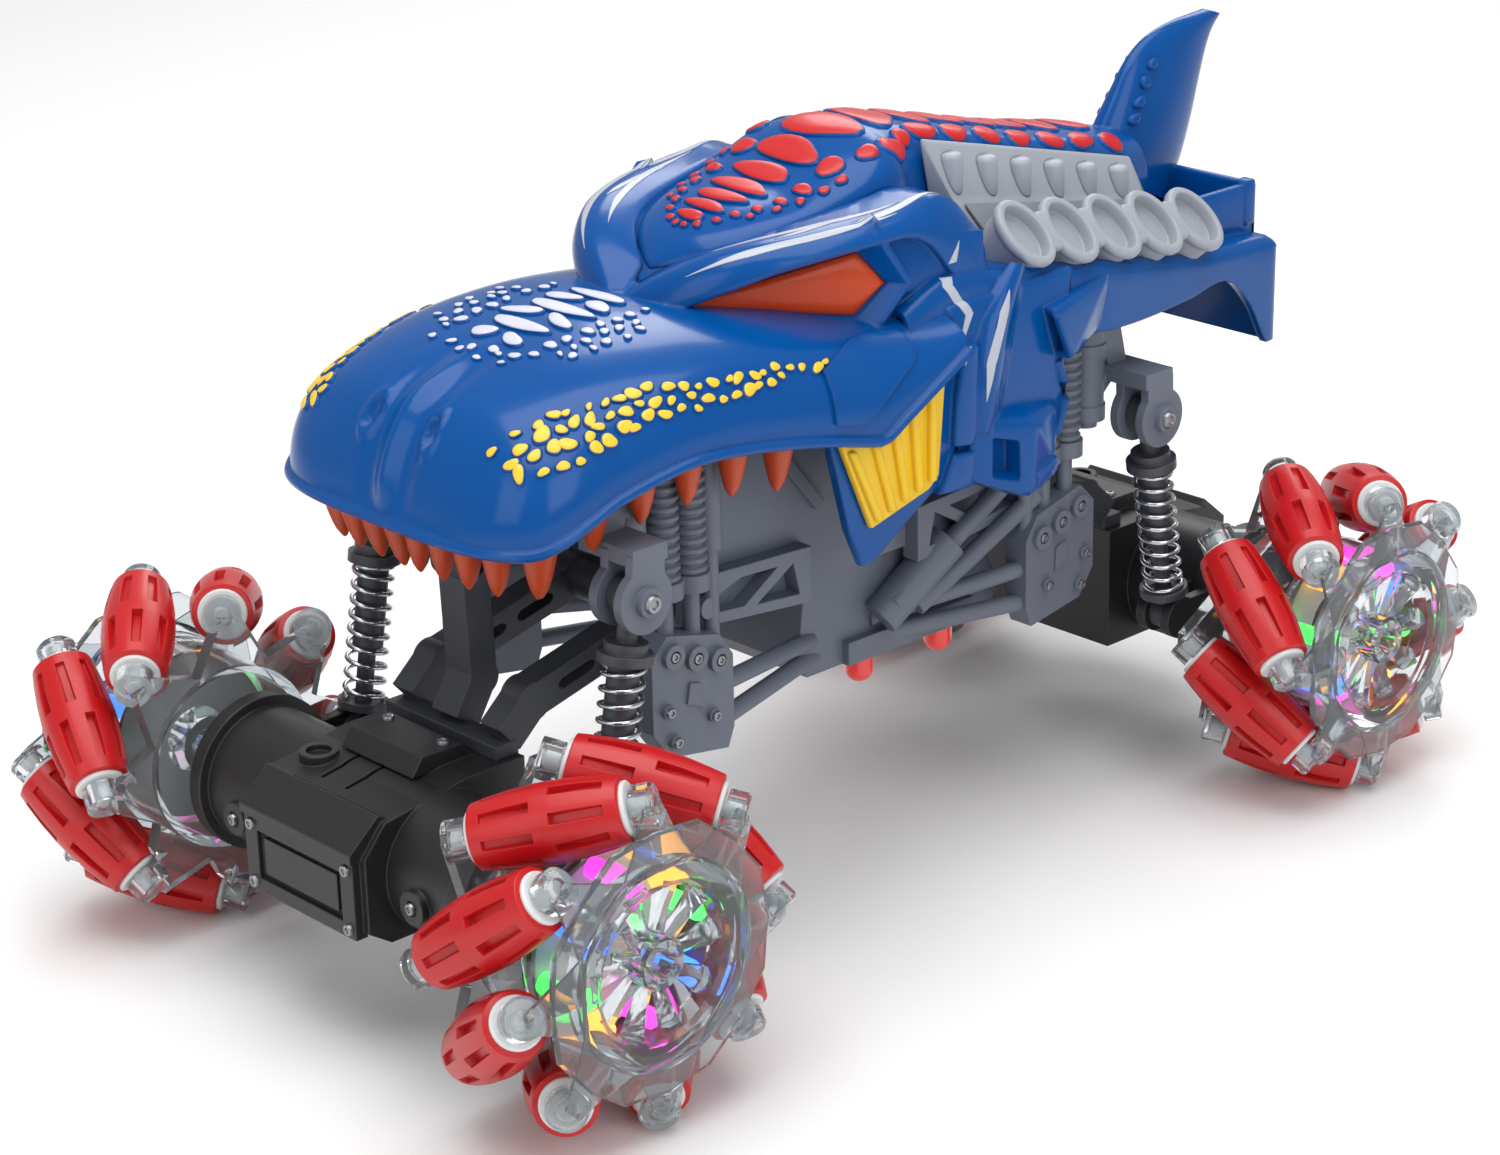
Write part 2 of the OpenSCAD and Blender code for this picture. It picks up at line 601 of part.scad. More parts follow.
function dome_ring(x, d) = let (
        w = curve(dome_half, min(34, x + d)) - d,
        hi = curve(dome_top, min(34, x + d)) - d,
        lo = min(146, fender_z(x) - 1) - (d > 0 ? 12 : 0))
    [for (k = [0 : 18]) let (a = 10 * k)
        [x, w * round_to(cos(a), curve(dome_y, x)), lo + (hi - lo) * round_to(sin(a), curve(dome_z, x))]];

module dome(d) {
    loft([for (x = dome_xs) if (x <= 34 - 1.5 * d && x >= -120 + d) dome_ring(x, d)]);
}

// Rear fenders and the open bed behind the dome.
module fender_side() {
    polygon([[0, 146], [-14, 151.5], [-28, 150.5], [-110, 136.6], [-122, 135.6], [-142, 134], [-144, 106],
        [-140, 106], [-132, 118], [-121, 127], [-105, 126], [-86, 125.4], [-71, 126],
        [-52, 128], [-30, 128], [-10, 131], [0, 131]]);
}

module rear_plan(d) {
    polygon([[6, 46 - d], [-70, 46 - d], [-146, 39.5 - d], [-146, d - 39.5], [-70, d - 46], [6, d - 46]]);
}

module rear_body() {
    intersection() {
        slab(-50, 50) fender_side();
        translate([0, 0, 90]) linear_extrude(70) rear_plan(0);
    }
    translate([-144, -32, 130]) cube([27, 64, 17]);
}

module rear_hollow() {
    intersection() {
        slab(-50, 50) {
            offset(delta = -shell_wall) fender_side();
            polygon([[4, 90], [4, 132], [-30, 132], [-80, 130], [-122, 130], [-134, 124],
                [-140, 112], [-140, 90]]);
        }
        translate([0, 0, 80]) linear_extrude(90) rear_plan(shell_wall);
    }
    translate([-144 + shell_wall, shell_wall - 32, 138]) cube([24 - shell_wall, 64 - 2 * shell_wall, 20]);
}

// Tail fin: lens-shaped slices from a leading to a trailing edge, hulled in pairs.
fin_lead = [[0, -110], [0.2, -119], [0.4, -124], [0.6, -129], [0.8, -136.5], [0.92, -147], [1, -160]];
fin_rise = [[0, 150], [0.2, 163], [0.4, 170], [0.6, 176.5], [0.8, 181.5], [0.92, 184], [1, 185]];
fin_trail = [[0, -142.5], [0.2, -149], [0.4, -153.5], [0.6, -156.5], [0.8, -159.5], [0.92, -162], [1, -165]];
fin_fall = [[0, 137], [0.2, 147], [0.4, 157], [0.6, 165], [0.8, 173.5], [0.92, 179], [1, 183]];

module fin_slice(t) {
    a = [curve(fin_lead, t), curve(fin_rise, t)];
    b = [curve(fin_trail, t), curve(fin_fall, t)];
    g = 8.4 * (1 - 0.72 * t);
    for (u = [0, 0.12, 0.3, 0.5, 0.7, 0.88, 1]) {
        p = a + u * (b - a);
        h = g * sqrt(max(0.01, 4 * u * (1 - u)));
        translate([p[0] - 0.1, -h, p[1] - 0.1]) cube([0.2, 2 * h, 0.2]);
    }
}

module fin() {
    ts = [0, 0.12, 0.26, 0.4, 0.54, 0.68, 0.8, 0.9, 0.96, 1];
    for (k = [0 : len(ts) - 2]) hull() {
        fin_slice(ts[k]);
        fin_slice(ts[k + 1]);
    }
}

// Cheek skirt with its fang point, and the neck pod with its scoops.
module side_pods() {
    slab(45.8, 48.2)
        polygon([[31, 138], [27, 118], [22, 99], [18, 89], [15, 88.4], [2, 97],
            [-12, 104], [-16, 118], [-14, 140]]);
    difference() {
        hull() {
            translate([-52, 44, 128]) cube([40, 6, 17]);
            translate([-46, 45, 108]) cube([30, 8, 6]);
            translate([-43, 46, 94.5]) cube([19, 7.6, 4]);
        }
        hull() {
            translate([-30, 48, 101]) cube([14, 9, 1]);
            translate([-26, 48, 116]) cube([14, 9, 1]);
        }
        hull() {
            translate([-47, 49, 122]) cube([9, 9, 1]);
            translate([-44, 49, 136]) cube([9, 9, 1]);
        }
    }
    hull() {
        translate([-16, 46, 112]) cube([5, 3.6, 2]);
        translate([-19, 46, 138]) cube([6, 4.4, 2]);
    }
    hull() {
        translate([-64, 44, 128]) cube([12, 3.4, 4]);
        translate([-52, 44, 140]) cube([14, 6.4, 6]);
    }
}

module body_shell() {
    color([0.09, 0.34, 0.66]) raised() {
        difference() {
            union() {
                jaw(0);
                cap();
                face(0);
                dome(0);
                rear_body();
            }
            jaw(shell_wall);
            face(shell_wall);
            dome(shell_wall);
            rear_hollow();
        }
        mirrored_y() side_pods();
        fin();
        mirrored_y() {
            translate([68, 16, 127.2]) cylinder(r = 4, h = 23);
            translate([-70, 12, 127.2]) cylinder(r = 4, h = 40);
        }
    }
}

// Teeth on a strip inside the lip, the front ones evenly across the car, the side ones evenly along it.
tooth_in = shell_wall + 5.8;
function tooth_xy(i) = i < 5
    ? let (y = 4 + 8.2 * i, w = nose_w - tooth_in, l = nose_x - nose_c - tooth_in)
        [nose_c + l * (max(0, 1 - (y / w) ^ nose_e)) ^ (1 / nose_e), y]
    : let (x = 105 - 13 * (i - 5)) [x, half(x + (x > nose_c ? tooth_in * 0.6 : 0)) - tooth_in];
function tooth_at(i) = let (p = tooth_xy(i), in = p[0] > nose_c ? tooth_in : 0)
    [p[0], p[1], curve(lip_t, min(nose_x, p[0] + in))];

module upper_teeth() {
    color([0.78, 0.27, 0.1]) raised() {
        mirrored_y() for (i = [0 : tooth_count - 1]) {
            translate(tooth_at(i) + [0, 0, 1 - tooth_len])
                cylinder(r1 = 0.9, r2 = 3.8, h = tooth_len, $fn = 14);
            if (i > 0) hull() {
                translate(tooth_at(i - 1) + [0, 0, 0.6]) cylinder(r = 2.2, h = 2.6, $fn = 10);
                translate(tooth_at(i) + [0, 0, 0.6]) cylinder(r = 2.2, h = 2.6, $fn = 10);
            }
        }
        hull() mirrored_y() translate(tooth_at(0) + [0, 0, 0.6]) cylinder(r = 2.2, h = 2.6, $fn = 10);
    }
}

// Eye panels on the slanted sides of the face wedge.
module eye_panels() {
    run = eye_back - eye_front;
    color([0.8, 0.3, 0.1]) raised() mirrored_y() translate([eye_front[0], eye_front[1], 0])
        rotate(atan2(run[1], run[0])) slab(-2.1, -0.1)
            polygon([[2, 152.3], [42, 159.6], [48, 153], [41, 147.8], [20, 150.5]]);
}

// Ribbed grille on each cheek.
module cheek_grilles() {
    color([0.92, 0.76, 0.12]) raised() mirrored_y() {
        slab(48.35, 50.2) polygon([[25, 115.4], [12, 117], [-6, 122], [-1, 104], [20, 97.5]]);
        for (k = [0 : 4]) slab(49.6, 51.4)
            bar([20.5 - 4.6 * k, 99.4 + 1.2 * k], [21 - 5.6 * k, 114.6 + 0.9 * k], 1.8);
    }
}

// Exhaust bank on each side of the back: slanted housing, louvre wedges and five oval pipes in a row.
module oval(a, b) {
    polygon([for (t = [0 : 15 : 345]) [a * cos(t), b * sin(t)]]);
}

module pipe_row(a, b) {
    for (k = [0 : 4]) translate([-14.7 * k, 6.1 * k]) oval(a, b);
}

// The pipes share one rim, whose plane faces up and out.
module exhaust_pipes() {
    translate([-45.1, 42, 155.9]) rotate([-46.4, 8.1, 15.5]) difference() {
        union() {
            translate([0, 0, -2.6]) linear_extrude(2.6) pipe_row(7.9, 9.7);
            translate([0, 0, -16]) linear_extrude(14) pipe_row(6.4, 8.4);
        }
        translate([0, 0, -3.4]) linear_extrude(5) pipe_row(5.4, 7.2);
    }
}

module bank_floor() {
    translate([0, -46.3, 0]) rotate([90, 0, 0]) mirror([0, 0, 1]) linear_extrude(92.6)
        polygon([[0, 120], [0, 150.8], [-28, 150.8], [-110, 136.9], [-130, 136.9], [-130, 120]]);
}

module exhaust_bank() {
    difference() {
        union() {
            loft([
                [[-36, 20.7, 147], [-39, 38, 147], [-35, 26, 163], [-31, 20.8, 177], [-31, 19.4, 177.3]],
                [[-108, 20.4, 134], [-108, 36, 134], [-107.5, 24.6, 149.4], [-107, 20.6, 158.5],
                    [-107, 19.4, 158.8]]]);
            for (k = [0 : wedge_count - 1]) translate([-38.5 - 12.2 * k, 23 - 0.06 * k, 162.5 - 2.96 * k])
                cylinder(r = 2.8, h = 10.4, $fn = 24);
            exhaust_pipes();
        }
        bank_floor();
    }
}

module exhaust_banks() {
    color([0.65, 0.67, 0.7]) raised() mirrored_y() exhaust_bank();
}

body_shell();
upper_teeth();
eye_panels();
cheek_grilles();
exhaust_banks();
chassis_frame();
front_gearbox();
rear_gearbox();
front_arms();
rear_arms();
front_shock_tubes();
front_shock_rods();
front_springs();
rear_shock_tubes();
rear_shock_rods();
rear_springs();
battery_pack();
battery_door();
power_switch();
underglow_lamps();
for (w = WHEELS) hub_outer(w);
for (w = WHEELS) hub_inner(w);
for (w = WHEELS) for (i = [1 : 8]) roller(w, i);
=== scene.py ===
from math import acos, cos, exp, pi, radians, sin, sqrt
from random import Random

import bmesh
import bpy
from mathutils import Matrix, Vector
from mathutils.bvhtree import BVHTree


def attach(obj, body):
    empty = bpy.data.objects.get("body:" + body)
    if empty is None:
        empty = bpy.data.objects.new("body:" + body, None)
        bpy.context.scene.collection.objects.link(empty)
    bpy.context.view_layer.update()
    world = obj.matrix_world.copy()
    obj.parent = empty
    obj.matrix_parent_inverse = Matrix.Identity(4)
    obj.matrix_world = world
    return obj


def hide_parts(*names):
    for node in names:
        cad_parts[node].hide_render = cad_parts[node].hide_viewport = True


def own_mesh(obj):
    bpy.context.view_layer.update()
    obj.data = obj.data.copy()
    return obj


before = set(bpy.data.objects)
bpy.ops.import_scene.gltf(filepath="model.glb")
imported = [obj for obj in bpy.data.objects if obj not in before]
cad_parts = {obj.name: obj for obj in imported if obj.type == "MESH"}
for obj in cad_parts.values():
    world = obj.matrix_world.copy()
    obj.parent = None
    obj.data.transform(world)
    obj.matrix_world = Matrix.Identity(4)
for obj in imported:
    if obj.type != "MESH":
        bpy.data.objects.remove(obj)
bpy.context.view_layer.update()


# Camera: a long lens in front of the car's left corner, a little above it, as in the photo.
# It stands free of the car and belongs to the studio.
camera_lens = bpy.data.cameras.new("photo_camera")
camera_lens.sensor_width = 36
camera_lens.lens = 83.84
camera = bpy.data.objects.new("photo_camera", camera_lens)
bpy.context.collection.objects.link(camera)
yaw, pitch, roll = radians(47.04), radians(21.148), radians(-1.217)
ahead = Vector((-cos(pitch) * cos(yaw), -cos(pitch) * sin(yaw), -sin(pitch)))
level = ahead.cross(Vector((0, 0, 1))).normalized()
upright = level.cross(ahead)
across = cos(roll) * level + sin(roll) * upright
rise = cos(roll) * upright - sin(roll) * level
camera.matrix_world = Matrix((
    (across.x, rise.x, -ahead.x, 0.55385),
    (across.y, rise.y, -ahead.y, 0.58539),
    (across.z, rise.z, -ahead.z, 0.38046),
    (0, 0, 0, 1)))
bpy.context.scene.camera = camera
bpy.context.scene.view_settings.view_transform = "Standard"


# Studio: a pale floor, one wide softbox overhead, smaller ones to the left, in front and behind, and an even
# white sky. The floor catches the car's shadow and is not part of the car.
def srgb(r, g, b):
    """A colour as it looks on screen, turned into the linear values that the shaders take."""
    return tuple(((c / 255 + 0.055) / 1.055) ** 2.4 if c > 10 else c / 3294.6 for c in (r, g, b)) + (1.0,)


car_middle = Vector((0, 0, 0.08))


def softbox(name, at, size, power):
    """A white area lamp at a point, turned towards the car."""
    lamp = bpy.data.lights.new(name, "AREA")
    lamp.shape = "RECTANGLE"
    lamp.size, lamp.size_y = size
    lamp.energy = power
    stand = bpy.data.objects.new(name, lamp)
    stand.location = at
    stand.rotation_euler = (car_middle - Vector(at)).to_track_quat("-Z", "Y").to_euler()
    bpy.context.collection.objects.link(stand)


def plain_finish(name):
    """A new finish, with nothing but its surface shader."""
    material = bpy.data.materials.new(name)
    material.use_nodes = True
    return material


def tune(material, inputs, node=None):
    """Gives inputs of the finish's surface, or of another shader node, a value or another node's output."""
    node = node or material.node_tree.nodes["Principled BSDF"]
    for name, value in inputs.items():
        if isinstance(value, bpy.types.NodeSocket):
            material.node_tree.links.new(value, node.inputs[name])
        else:
            node.inputs[name].default_value = value


def wired(material, kind, inputs):
    """A new shader node of the finish, with its inputs given."""
    node = material.node_tree.nodes.new("ShaderNode" + kind)
    tune(material, inputs, node)
    return node


def mixed(material, share, first, second):
    """A colour between two others, by a share."""
    node = material.node_tree.nodes.new("ShaderNodeMix")
    node.data_type = "RGBA"
    tune(material, {0: share, 6: first, 7: second}, node)
    return node.outputs[2]


softbox("overhead_softbox", (0.1, 0.1, 1.5), (1.5, 1.5), 21)
softbox("left_softbox", (0.25, 1.3, 0.75), (0.9, 0.9), 5)
softbox("front_softbox", (1.4, 0.1, 0.7), (0.8, 0.9), 3)
softbox("back_softbox", (-1.1, -0.8, 1.0), (0.9, 0.6), 6)
sky = bpy.data.worlds.new("studio_sky")
sky.use_nodes = True
bpy.context.scene.world = sky
sky_light = sky.node_tree.nodes["Background"]
sky_light.inputs["Color"].default_value = (1, 1, 1, 1)
sky_light.inputs["Strength"].default_value = 0.38

floor_mesh = bpy.data.meshes.new("studio_floor")
floor_mesh.from_pydata([(-6, -6, 0), (6, -6, 0), (6, 6, 0), (-6, 6, 0)], [], [(0, 1, 2, 3)])
floor = bpy.data.objects.new("studio_floor", floor_mesh)
bpy.context.collection.objects.link(floor)
floor_paint = plain_finish("floor_paint")
floor_cloud = wired(floor_paint, "TexNoise", {"Scale": 3}).outputs["Fac"]
floor_tone = mixed(floor_paint, floor_cloud, (0.93, 0.93, 0.935, 1), (0.955, 0.955, 0.955, 1))
tune(floor_paint, {"Base Color": floor_tone, "Roughness": 0.6})
floor_mesh.materials.append(floor_paint)


# Chassis frame: the grey moulded tub with its four spring towers, deck and belly pod, in matte ABS.
# It is one moulding here; steel screws hold the tower caps to it.
mm = 0.001


def moulded(name, colour, rough=0.5, gloss=0.0, mottle=0.07, grain=0.06, edge=0.5, worn=0.12, grit=1500):
    """Moulded plastic: uneven tint, fine grain, rounded edges that have rubbed a little paler."""
    material = plain_finish(name)
    place = wired(material, "TexCoord", {}).outputs["Object"]
    cloud = wired(material, "TexNoise", {"Scale": 60, "Detail": 4, "Vector": place}).outputs["Fac"]
    dark = tuple(c * (1 - mottle) for c in colour[:3]) + (1,)
    light = tuple(min(1, c * (1 + mottle)) for c in colour[:3]) + (1,)
    rounded = wired(material, "Bevel", {"Radius": edge * mm})
    rounded.samples = 4
    smooth = rounded.outputs["Normal"]
    turn = wired(material, "VectorMath", {0: smooth, 1: wired(material, "NewGeometry", {}).outputs["Normal"]})
    turn.operation = "DOT_PRODUCT"
    rub = wired(material, "MapRange", {"From Min": 0.99, "From Max": 0.75, "To Max": worn,
                                       "Value": turn.outputs["Value"]}).outputs["Result"]
    paler = tuple(0.35 * c + 0.5 for c in colour[:3]) + (1,)
    dull, bright = rough + 0.07, max(0.03, rough - 0.07)
    sheen = wired(material, "MapRange", {"To Min": bright, "To Max": dull, "Value": cloud}).outputs["Result"]
    grains = wired(material, "TexNoise", {"Scale": grit, "Detail": 2, "Vector": place}).outputs["Fac"]
    bump = wired(material, "Bump", {"Strength": grain, "Distance": 0.0002, "Height": grains,
                                    "Normal": smooth}).outputs["Normal"]
    tune(material, {"Base Color": mixed(material, rub, mixed(material, cloud, dark, light), paler),
                    "Roughness": sheen, "Normal": bump, "Coat Weight": gloss, "Coat Roughness": 0.06})
    return material


def finish_cad(material, *names):
    """Gives CAD nodes that stay in view their material."""
    for name in names:
        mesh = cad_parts[name].data
        mesh.materials.clear()
        mesh.materials.append(material)


def skin(stock, rings, loop=True, ends=True):
    """A skin over rings of points; loop closes each ring, and ends caps the first and the last."""
    rows = [[stock.verts.new(p) for p in ring] for ring in rings]
    for a, b in zip(rows, rows[1:]):
        for j in range(len(a) if loop else len(a) - 1):
            k = (j + 1) % len(a)
            stock.faces.new((a[j], a[k], b[k], b[j]))
    if ends:
        stock.faces.new(rows[0][::-1])
        stock.faces.new(rows[-1])


def around(steps):
    """Even angles round a full turn."""
    return [2 * pi * k / steps for k in range(steps)]


def turned(stock, profile, place=Matrix(), steps=32, loop=False):
    """A turned part: rows of (radius, height) spun about Z, then moved by place."""
    least = 0.01
    rings = [[place @ Vector((max(r, least) * cos(a), max(r, least) * sin(a), z)) for a in around(steps)]
             for r, z in profile]
    skin(stock, rings + rings[:1] if loop else rings, ends=not loop)


def make(name, stock, material, body, sharp=35):
    """Turns the stock, drawn in millimetres, into a piece that rides on a body of the car."""
    bmesh.ops.remove_doubles(stock, verts=stock.verts, dist=0.0005)
    bmesh.ops.recalc_face_normals(stock, faces=stock.faces)
    bmesh.ops.scale(stock, vec=(mm, mm, mm), verts=stock.verts)
    mesh = bpy.data.meshes.new(name)
    stock.to_mesh(mesh)
    stock.free()
    for face in mesh.polygons:
        face.use_smooth = True
    mesh.set_sharp_from_angle(angle=radians(sharp))
    mesh.materials.append(material)
    piece = bpy.data.objects.new(name, mesh)
    bpy.context.collection.objects.link(piece)
    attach(piece, body)
    return piece


def facing_to(at, out):
    """A placement at a point with Z along out."""
    return Matrix.Translation(at) @ Vector(out).to_track_quat("Z", "Y").to_matrix().to_4x4()


screw_head = [(0, -1.2), (1, -1.2), (1, 0.25), (0.85, 0.6), (0.5, 0.66), (0.4, 0.3), (0, 0.25)]
chassis_grey = moulded("chassis_grey", srgb(102, 109, 122), rough=0.48, grain=0.1, edge=0.5)
screw_steel = moulded("screw_steel", srgb(150, 152, 156), rough=0.3, grain=0.02, edge=0.2)
tune(screw_steel, {"Metallic": 0.9})
finish_cad(chassis_grey, "chassis_frame")
tower_screw_spots = ((71, 66, 39.4, 1.3), (57, 61, 39.4, 1.3), (69, 58, 39.4, 1.3), (69, 79, 38.9, 1.3),
                     (62, 76.6, 38.9, 1.3), (55, 74.2, 38.9, 1.3), (86.5, 100.5, 52.2, 2.2))
stock = bmesh.new()
for end in (1, -1):
    for side in (1, -1):
        for x, z, y, size in tower_screw_spots:
            head = [(size * r, h * min(size, 1.4)) for r, h in screw_head]
            turned(stock, head, facing_to((end * x, side * y, z), (0, side, 0)), 20)
make("tower_screws", stock, screw_steel, "car")


# Belly: battery pack under a clip-on door, the slide switch and four red running lamps.
# The door and switch are satin ABS, the pack is a shrink-wrapped block, the lamps are tinted lenses.
finish_cad(moulded("door_grey", srgb(92, 96, 106), rough=0.45), "battery_door")
finish_cad(moulded("switch_black", srgb(30, 30, 33), rough=0.4, worn=0.2), "power_switch")
finish_cad(moulded("pack_wrap", srgb(34, 104, 52), rough=0.28, gloss=0.4, grain=0.03), "battery_pack")
lamp_red = moulded("lamp_red", srgb(186, 40, 38), rough=0.15, gloss=0.6, worn=0)
tune(lamp_red, {"Emission Color": srgb(255, 60, 50), "Emission Strength": 0.3})
finish_cad(lamp_red, "underglow_lamps")


# Gearboxes: one black housing per axle, glass-filled nylon, two shells screwed together round the drive.
# The hood plate and lid carry bright screws; the round flanges face the wheels.
gearbox_black = moulded("gearbox_black", srgb(34, 34, 36), rough=0.42, grain=0.12, edge=0.6, worn=0.1)
finish_cad(gearbox_black, "front_gearbox", "rear_gearbox")
axle_x, axle_z = 124, 41.852
hood_screw_spots = ((24.2, 17.6, -10.4, (1, 0, 0)), (24.2, 17.6, 4, (1, 0, 0)),
                    (-10.4, 10, 21.3, (0, 0, 1)), (18.5, 33, -2, (1, 0, 0)))
flange_y, flange_screw_r = 49.4, 17.7
for end, axle in ((1, "front_axle"), (-1, "rear_axle")):
    stock = bmesh.new()
    for side in (1, -1):
        for x, y, z, out in hood_screw_spots:
            place = facing_to((end * (axle_x + x), side * y, axle_z + z), (end * out[0], 0, out[2]))
            turned(stock, [(1.5 * r, 1.3 * h) for r, h in screw_head], place, 20)
        for k in range(6):
            x = end * axle_x + flange_screw_r * cos(k * pi / 3)
            place = facing_to((x, side * flange_y, axle_z + flange_screw_r * sin(k * pi / 3)), (0, side, 0))
            turned(stock, [(1.1 * r, h) for r, h in screw_head], place, 16)
    make(axle + "_screws", stock, screw_steel, axle)


# Trailing arms: dark grey nylon arms that hold each gearbox to the tub and let it rise.
# They are moulded in one with the bent centre upright.
finish_cad(moulded("arm_grey", srgb(60, 63, 70), rough=0.5, grain=0.1), "front_arms", "rear_arms")


# Shocks: a grey plastic tube over a rod at each corner, with a chromed steel coil round both.
# The coil is wound from round wire with a flat half turn at each end, seated between two collars.
finish_cad(moulded("shock_grey", srgb(64, 66, 73), rough=0.42), "front_shock_tubes", "rear_shock_tubes",
           "front_shock_rods", "rear_shock_rods")
chrome = moulded("spring_chrome", srgb(205, 207, 212), rough=0.16, mottle=0.04, grain=0.02, edge=0.1, worn=0)
tune(chrome, {"Metallic": 1.0})
shock_foot, shock_head = Vector((96, 45, 44.052)), Vector((86.5, 45, 100.552))
shock_run = (shock_head - shock_foot).normalized()
shock_side = Vector((0, 1, 0))
shock_out = shock_side.cross(shock_run)
coil_r, wire_r, coil_low, coil_high, coil_turns, shock_travel = 4.75, 0.62, 8.7, 41.6, 10, 3.9
for end, name in ((1, "front"), (-1, "rear")):
    stock = bmesh.new()
    for side in (1, -1):
        rings = []
        for k in range(24 * coil_turns + 1):
            share = k / (24 * coil_turns)
            eased = min(max((share - 0.05) / 0.9, 0), 1)
            turn = 2 * pi * coil_turns * share
            outward = cos(turn) * shock_out + sin(turn) * shock_side
            middle = coil_r * outward
            middle += shock_foot + shock_run * (coil_low + (coil_high - coil_low) * eased)
            rings.append([middle + wire_r * (cos(pi * j / 4) * outward + sin(pi * j / 4) * shock_run)
                          for j in range(8)])
        skin(stock, [[(end * p.x, side * p.y, p.z) for p in ring] for ring in rings])
    coil = make(name + "_coils", stock, chrome, name + "_tubes", sharp=60)
    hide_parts(name + "_springs")
    seat = (shock_foot + shock_run * (coil_high + 0.6)) * mm
    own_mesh(coil)


# Wheel hubs: two clear polycarbonate halves, a faceted star outside and a plain one inside.
# The halves meet in a drum round the axle; a lamp board with coloured lights sits inside the drum.
def clear_plastic(name, tint, rough=0.03):
    """Clear moulded plastic with slight flow marks."""
    material = plain_finish(name)
    place = wired(material, "TexCoord", {}).outputs["Object"]
    flow = wired(material, "TexNoise", {"Scale": 140, "Vector": place}).outputs["Fac"]
    rub = wired(material, "MapRange", {"To Min": rough * 0.5, "To Max": rough * 2, "Value": flow})
    darker = tuple(c * 0.93 for c in tint[:3]) + (1,)
    tune(material, {"Base Color": mixed(material, flow, tint, darker), "Roughness": rub.outputs["Result"],
                    "Transmission Weight": 0.94, "IOR": 1.42})
    return material


hub_clear = clear_plastic("hub_clear", srgb(238, 243, 246))
board_white = moulded("board_white", srgb(214, 222, 218), rough=0.4, grain=0.03)
wheel_y, ring_r, barrel_end, tilt = 75.5, 33.25, 16.5, radians(40)
wheels = {"front_left": (1, 1), "front_right": (1, -1), "rear_left": (-1, 1), "rear_right": (-1, -1)}
finish_cad(hub_clear, *["hub_inner_" + w for w in wheels])
onto_axle = Matrix.Rotation(-pi / 2, 4, "X")
light_tints = {"green": (70, 225, 90), "amber": (255, 165, 40),
               "pink": (235, 60, 190), "blue": (60, 120, 245)}
light_looks = {}
for tint, rgb in light_tints.items():
    light_looks[tint] = moulded("light_" + tint, srgb(*rgb), rough=0.2, worn=0)
    tune(light_looks[tint], {"Emission Color": srgb(*rgb), "Emission Strength": 2.4})


def on_roller(i):
    """From a roller standing on Z at its middle to its place round the axle of the front left wheel."""
    return (Matrix.Rotation(-radians(45 * i + 22.5), 4, "Y") @ Matrix.Translation((ring_r, 0, 0))
            @ Matrix.Rotation(tilt - pi / 2, 4, "X"))


def at_wheel(stock, ends):
    """Moves a front left wheel part, drawn about the axle, to its own corner."""
    for v in stock.verts:
        v.co = (ends[0] * (axle_x + v.co.x), ends[1] * (wheel_y + v.co.y), axle_z + v.co.z)


drum_profile = [(20.6, 0.3), (22.3, 0.3), (22.6, 12), (22.7, 16.6), (23.6, 17.6), (24.2, 19), (24.1, 20.4),
                (23.2, 21), (21.6, 21.2), (19.6, 21), (18.2, 20.2), (17.5, 18.8), (17.5, 14), (20.4, 13.2)]
boss_profile = [(3.1, 9.2), (5.9, 9.2), (6.2, 10), (6.2, 18.6), (5.6, 19.5), (3.7, 19.5), (3.1, 19)]
spokes, spoke_foot, spoke_edge = 10, 13.8, 15.4
spoke_rows = ((5.4, 1.1, 17.6), (11.5, 1.9, 17.2), (18, 3.1, 18.4))
star_profile = ((-8, 17.4), (-0.6, 17.5), (0, 18), (0, 18.8), (-0.6, 19.4), (-6.6, 20.4), (-8, 20.4))
star_flat_r, star_tip_r = 30.6, 31.6
lug_rows = ((22.4, 9.2, 17.5, 18.4, 20.6), (26.5, 6.8, 17.5, 18.3, 20.4), (34.6, 3.1, 17.5, 18.6, 19.6),
            (36.4, 2.3, 17.6, 18.2, 18.6))
lug_lead = 0.3775
cap_profile = [(2.3, barrel_end + 1.7), (4.4, barrel_end + 1.7), (4.7, barrel_end + 2.1), (4.7, 22.2),
               (4.1, 22.9), (2.6, 23), (0.4, 22.6), (0.4, 22.1), (2.3, 22)]
light_profile = [(2.3, 2), (2.3, 11.2), (2, 12.2), (1.3, 12.8), (0.5, 13), (0, 13)]
light_r = 17.7
